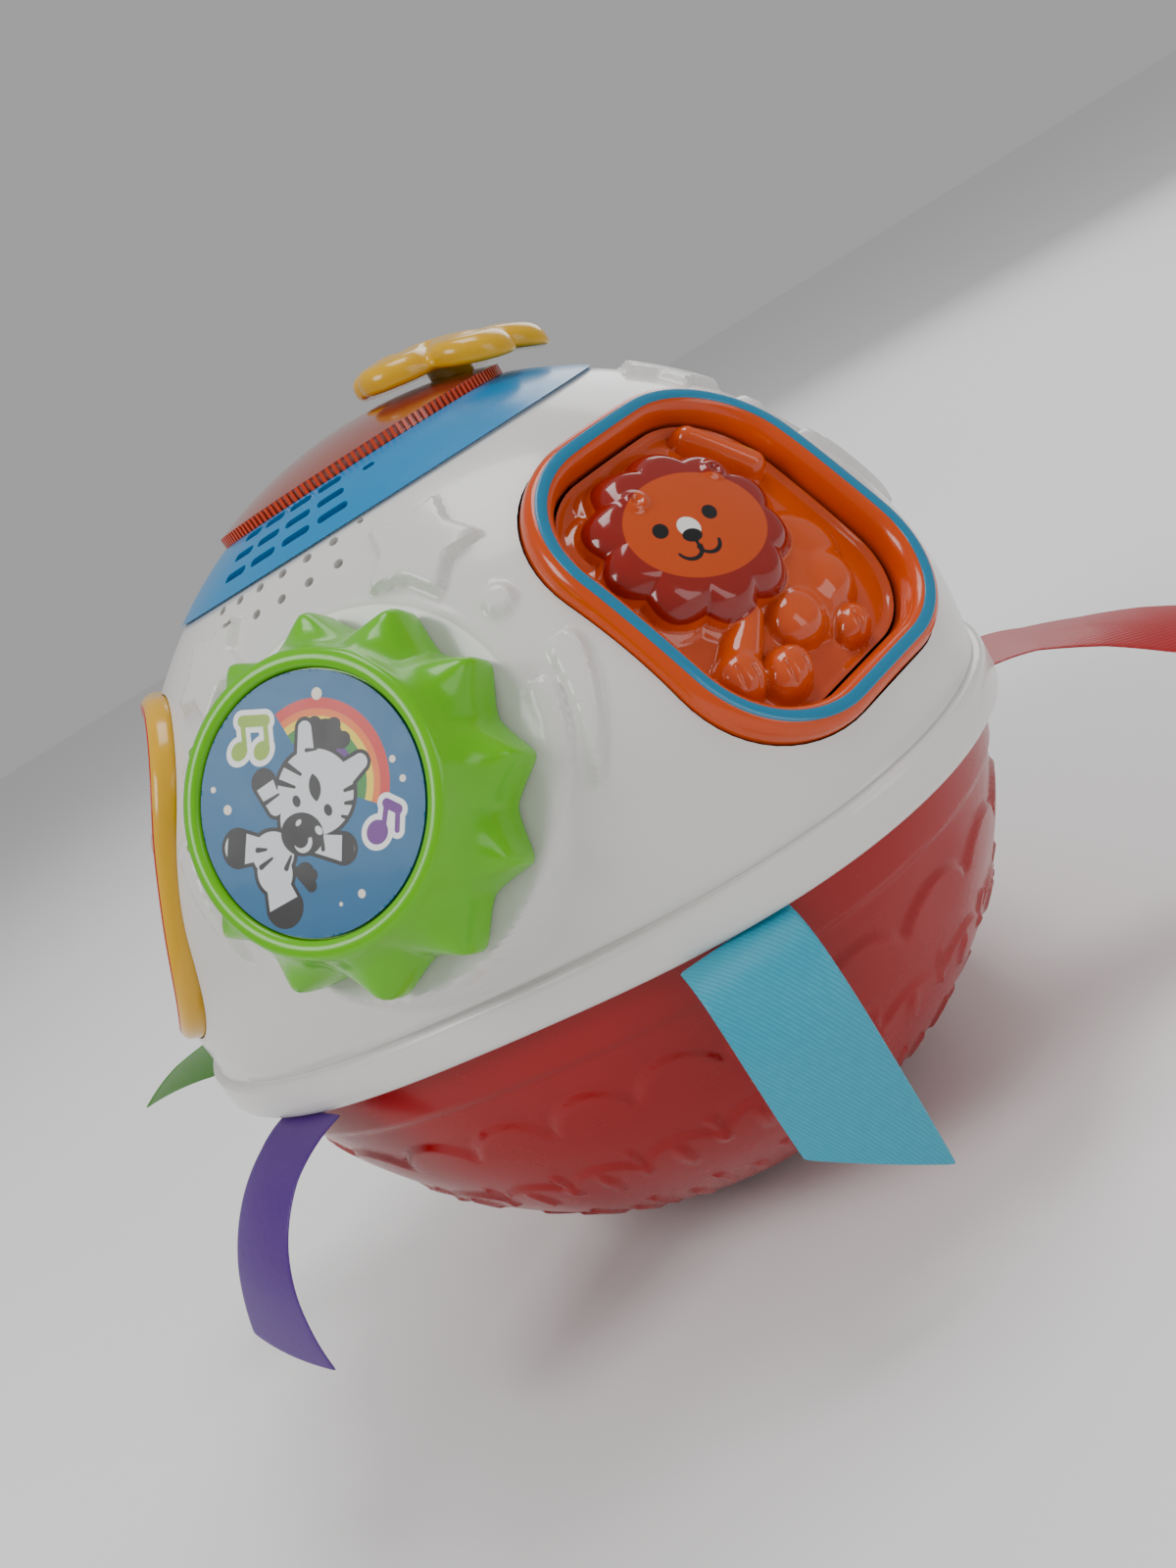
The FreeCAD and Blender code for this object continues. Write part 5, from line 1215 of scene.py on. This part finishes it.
# ------------------------------------------------------------------ satin ribbons
# Six 19 mm satin ribbons are caught under the rim between the two shells and hang free,
# each with its own twist and curl and a hot-cut end.
RIBBON_WIDTH = 19.0
RIBBON_LENGTH = 42.6
RIBBON_THICK = 0.35


def satin(name, colour):
    """Woven satin: fine floats across the strip and a soft sheen."""
    finish, shader, add, two_tones, _, tie = start_finish(
        name, Roughness=0.42, Sheen_Weight=0.1, Sheen_Roughness=0.4, Anisotropic=0.35)
    place = add("UVMap")
    place.uv_map = "cloth"
    grain = add("Mapping", place.outputs["UV"], Rotation=(0, 0, math.radians(32))).outputs["Vector"]
    floats = add("TexWave", grain, Scale=420, Distortion=1.2, Detail=3)
    slub = add("TexNoise", grain, Scale=700)
    mixed = add("Math")
    mixed.operation = "MULTIPLY"
    tie(floats.outputs["Fac"], mixed.inputs[0])
    tie(slub.outputs["Fac"], mixed.inputs[1])
    tone = two_tones(mixed.outputs["Value"], shaded(colour, 0.78), [min(1, c * 1.12) for c in colour])
    tie(tone.outputs["Result"], shader.inputs["Base Color"])
    weave = add("Bump", Strength=0.25, Distance=0.0002)
    tie(mixed.outputs["Value"], weave.inputs["Height"])
    tie(weave.outputs["Normal"], shader.inputs["Normal"])
    return finish


def ribbon_root(turn):
    """Where a ribbon leaves the rim: just outside the red wall over the ribbon's whole width."""
    waist = math.sqrt(LOWER_RADIUS ** 2 - WAIST_DROP ** 2)
    side_turn = math.asin(RIBBON_WIDTH / 2 / waist)
    return max(lobed(waist, 1.0, turn - side_turn), lobed(waist, 1.0, turn + side_turn)) - 0.9


def ribbon_piece(name, azimuth, pitches, yaws, twists, slant, colour, steps=56, columns=14):
    """A satin strip: pitch below level, yaw and twist in degrees are given along its length."""
    turn = math.radians(azimuth)
    outward = np.array([math.sin(turn), -math.cos(turn), 0.0])
    tangent = np.array([math.cos(turn), math.sin(turn), 0.0])
    lift = np.array([0, 0, 1.0])
    spot = outward * ribbon_root(turn) + np.array([0, 0, -WAIST_DROP - 0.42])
    stations = np.linspace(0, 1, steps + 1)
    keys = np.linspace(0, 1, len(pitches))
    centre, sides = [], []
    for station in stations:
        pitch, yaw, twist = [math.radians(np.interp(station, keys, bend)) for bend in (pitches, yaws, twists)]
        level = outward * math.cos(yaw) + tangent * math.sin(yaw)
        ahead_of = level * math.cos(pitch) - lift * math.sin(pitch)
        side = tangent * math.cos(yaw) - outward * math.sin(yaw)
        face = np.cross(ahead_of, side)
        centre.append(spot.copy())
        sides.append((side * math.cos(twist) + face * math.sin(twist),
                      face * math.cos(twist) - side * math.sin(twist)))
        spot = spot + ahead_of * (RIBBON_LENGTH / steps)
    points, marks = [], []
    for row, station in enumerate(stations):
        side, face = sides[row]
        before = centre[max(row - 1, 0)] - centre[min(row + 1, steps)]
        back = before / np.linalg.norm(before)
        for column in range(columns + 1):
            share = column / columns * 2 - 1
            cup = (1 - share ** 2) * 0.9 * smooth(0.1, 0.5, station)
            points.append(centre[row] + side * share * RIBBON_WIDTH / 2 + face * cup
                          - back * slant * share * station)
            marks.append((column / columns * RIBBON_WIDTH * MM, station * RIBBON_LENGTH * MM))
    mesh = skin_mesh(name, np.array(points).reshape(steps + 1, columns + 1, 3), False, False)
    layer = mesh.uv_layers.new(name="cloth")
    for corner in mesh.loops:
        layer.data[corner.index].uv = marks[corner.vertex_index]
    piece = add_piece(name, mesh, satin(name + "_satin", colour))
    thick = piece.modifiers.new("thickness", "SOLIDIFY")
    thick.thickness = RIBBON_THICK * MM
    thick.offset = 0
    soften = piece.modifiers.new("soften", "SUBSURF")
    soften.levels = soften.render_levels = 1
    return baked(piece)


# azimuth, pitches, yaws, twists, slant of the cut end and colour
ribbons = {
    "aqua": (28, (10, 66, 88, 92, 88), (0, -4, -8, -12, -14), (0, -4, -6, -10, -18), 8.0, (0.02, 0.36, 0.52)),
    "red": (90, (0, 20, 26, 30, 34), (0, 4, 8, 6, 4), (0, -4, 2, 10, 14), 0.0, (0.42, 0.005, 0.008)),
    "orange": (150, (0, 45, 62, 70, 66), (0, 5, 6, 0, -6), (0, 8, 20, 30, 34), 2.0, (0.68, 0.13, 0.012)),
    "yellow": (-150, (0, 50, 66, 72, 70), (0, -5, -8, -6, 0), (0, -8, -16, -26, -30), 2.0,
               (0.72, 0.46, 0.02)),
    "green": (-90, (0, 6, 10, 16, 30), (0, 8, 14, 18, 20), (0, 8, 20, 30, 36), 3.0, (0.07, 0.33, 0.02)),
    "purple": (-34, (0, 30, 52, 70, 82), (0, -6, -8, -8, -6), (0, -2, -8, -14, -18), 3.0,
               (0.075, 0.006, 0.22))}
for colour_name, bends in ribbons.items():
    strip = ribbon_piece("satin_" + colour_name, *bends)
    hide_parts("ribbon_" + colour_name)
    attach(strip, "ball")


# ------------------------------------------------------------------ door, screws and mode knob
# The battery door is a red cap screwed into the resting flat, the shell screws stand in
# deep wells round it, and a small mode knob slides in a slot behind the light dome.
def metal_finish(name, colour, roughness, stretch=(1, 1, 14)):
    """Metal with a faint drawn grain."""
    finish, shader, add, _, gloss_between, tie = start_finish(name, Base_Color=(*colour, 1), Metallic=1.0)
    drawn = add("Mapping", add("TexCoord").outputs["Object"], Scale=stretch)
    grain = add("TexNoise", drawn.outputs["Vector"], Scale=90)
    gloss_between(grain.outputs["Fac"], roughness - 0.08, roughness + 0.12)
    return finish


def dress(finish, *names):
    """Give pieces that keep their own shape a finish."""
    for name in names:
        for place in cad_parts[name].material_slots:
            place.material = finish


screw_steel = metal_finish("screw_steel", (0.56, 0.56, 0.57), 0.32)
dress(red_abs, "battery_door")
dress(screw_steel, "door_screw", "shell_screws")
dress(moulded_plastic("mode_orange", (0.72, 0.16, 0.01), 0.9, 0.28), "mode_knob")


# ------------------------------------------------------------------ works inside the ball
# A grey chassis carries the motor, the off-centre weight that rocks the ball, the boards,
# the switches, the light tower and the speaker. The cells lie in a box over the door.
def board_finish(name):
    """Green solder mask over copper runs."""
    finish, shader, add, _, _, tie = start_finish(name, Roughness=0.35)
    runs = add("TexBrick", add("TexCoord").outputs["Object"], Scale=160, Mortar_Size=0.05,
               Color1=(0.006, 0.12, 0.035, 1), Color2=(0.008, 0.15, 0.045, 1), Mortar=(0.03, 0.26, 0.07, 1))
    tie(runs.outputs["Color"], shader.inputs["Base Color"])
    return finish


black_abs = moulded_plastic("black_abs", (0.015, 0.015, 0.016), 0.8, 0.4, 0.1, 0.05)
grey_abs = moulded_plastic("grey_abs", (0.30, 0.31, 0.32), 0.9, 0.38, 0.1, 0.05)
dress(grey_abs, "chassis", "battery_box", "light_tower", "speaker_bracket", "spinner_cam")
dress(moulded_plastic("gear_nylon", (0.78, 0.76, 0.70), 0.94, 0.36, 0.1, 0.03), "drive_gear", "motor_pinion")
dress(metal_finish("weight_zinc", (0.34, 0.34, 0.35), 0.45, (1, 1, 1)), "eccentric_weight")
dress(metal_finish("drawn_steel", (0.60, 0.60, 0.61), 0.28), "weight_axle", "motor_spindle", "motor",
      "spinner_shaft", "spinner_washer", "spinner_screw", "battery_contacts")
dress(black_abs, "speaker", "mode_switch", "flower_switch", "spinner_switch")
pad_rubber = moulded_plastic("pad_rubber", (0.32, 0.33, 0.34), 0.9, 0.7, 0.0, 0.1)
for animal in PANELS:
    dress(black_abs, animal + "_switch")
    dress(pad_rubber, animal + "_pad")
dress(board_finish("solder_mask"), "main_board", "light_board")
dress(moulded_plastic("led_epoxy", (0.80, 0.72, 0.55), 0.95, 0.12, 0.5, 0.0, 0.3), "light_leds")
dress(moulded_plastic("cell_sleeve", (0.035, 0.10, 0.20), 0.8, 0.25, 0.4), "battery_cell_1", "battery_cell_2",
      "battery_cell_3")
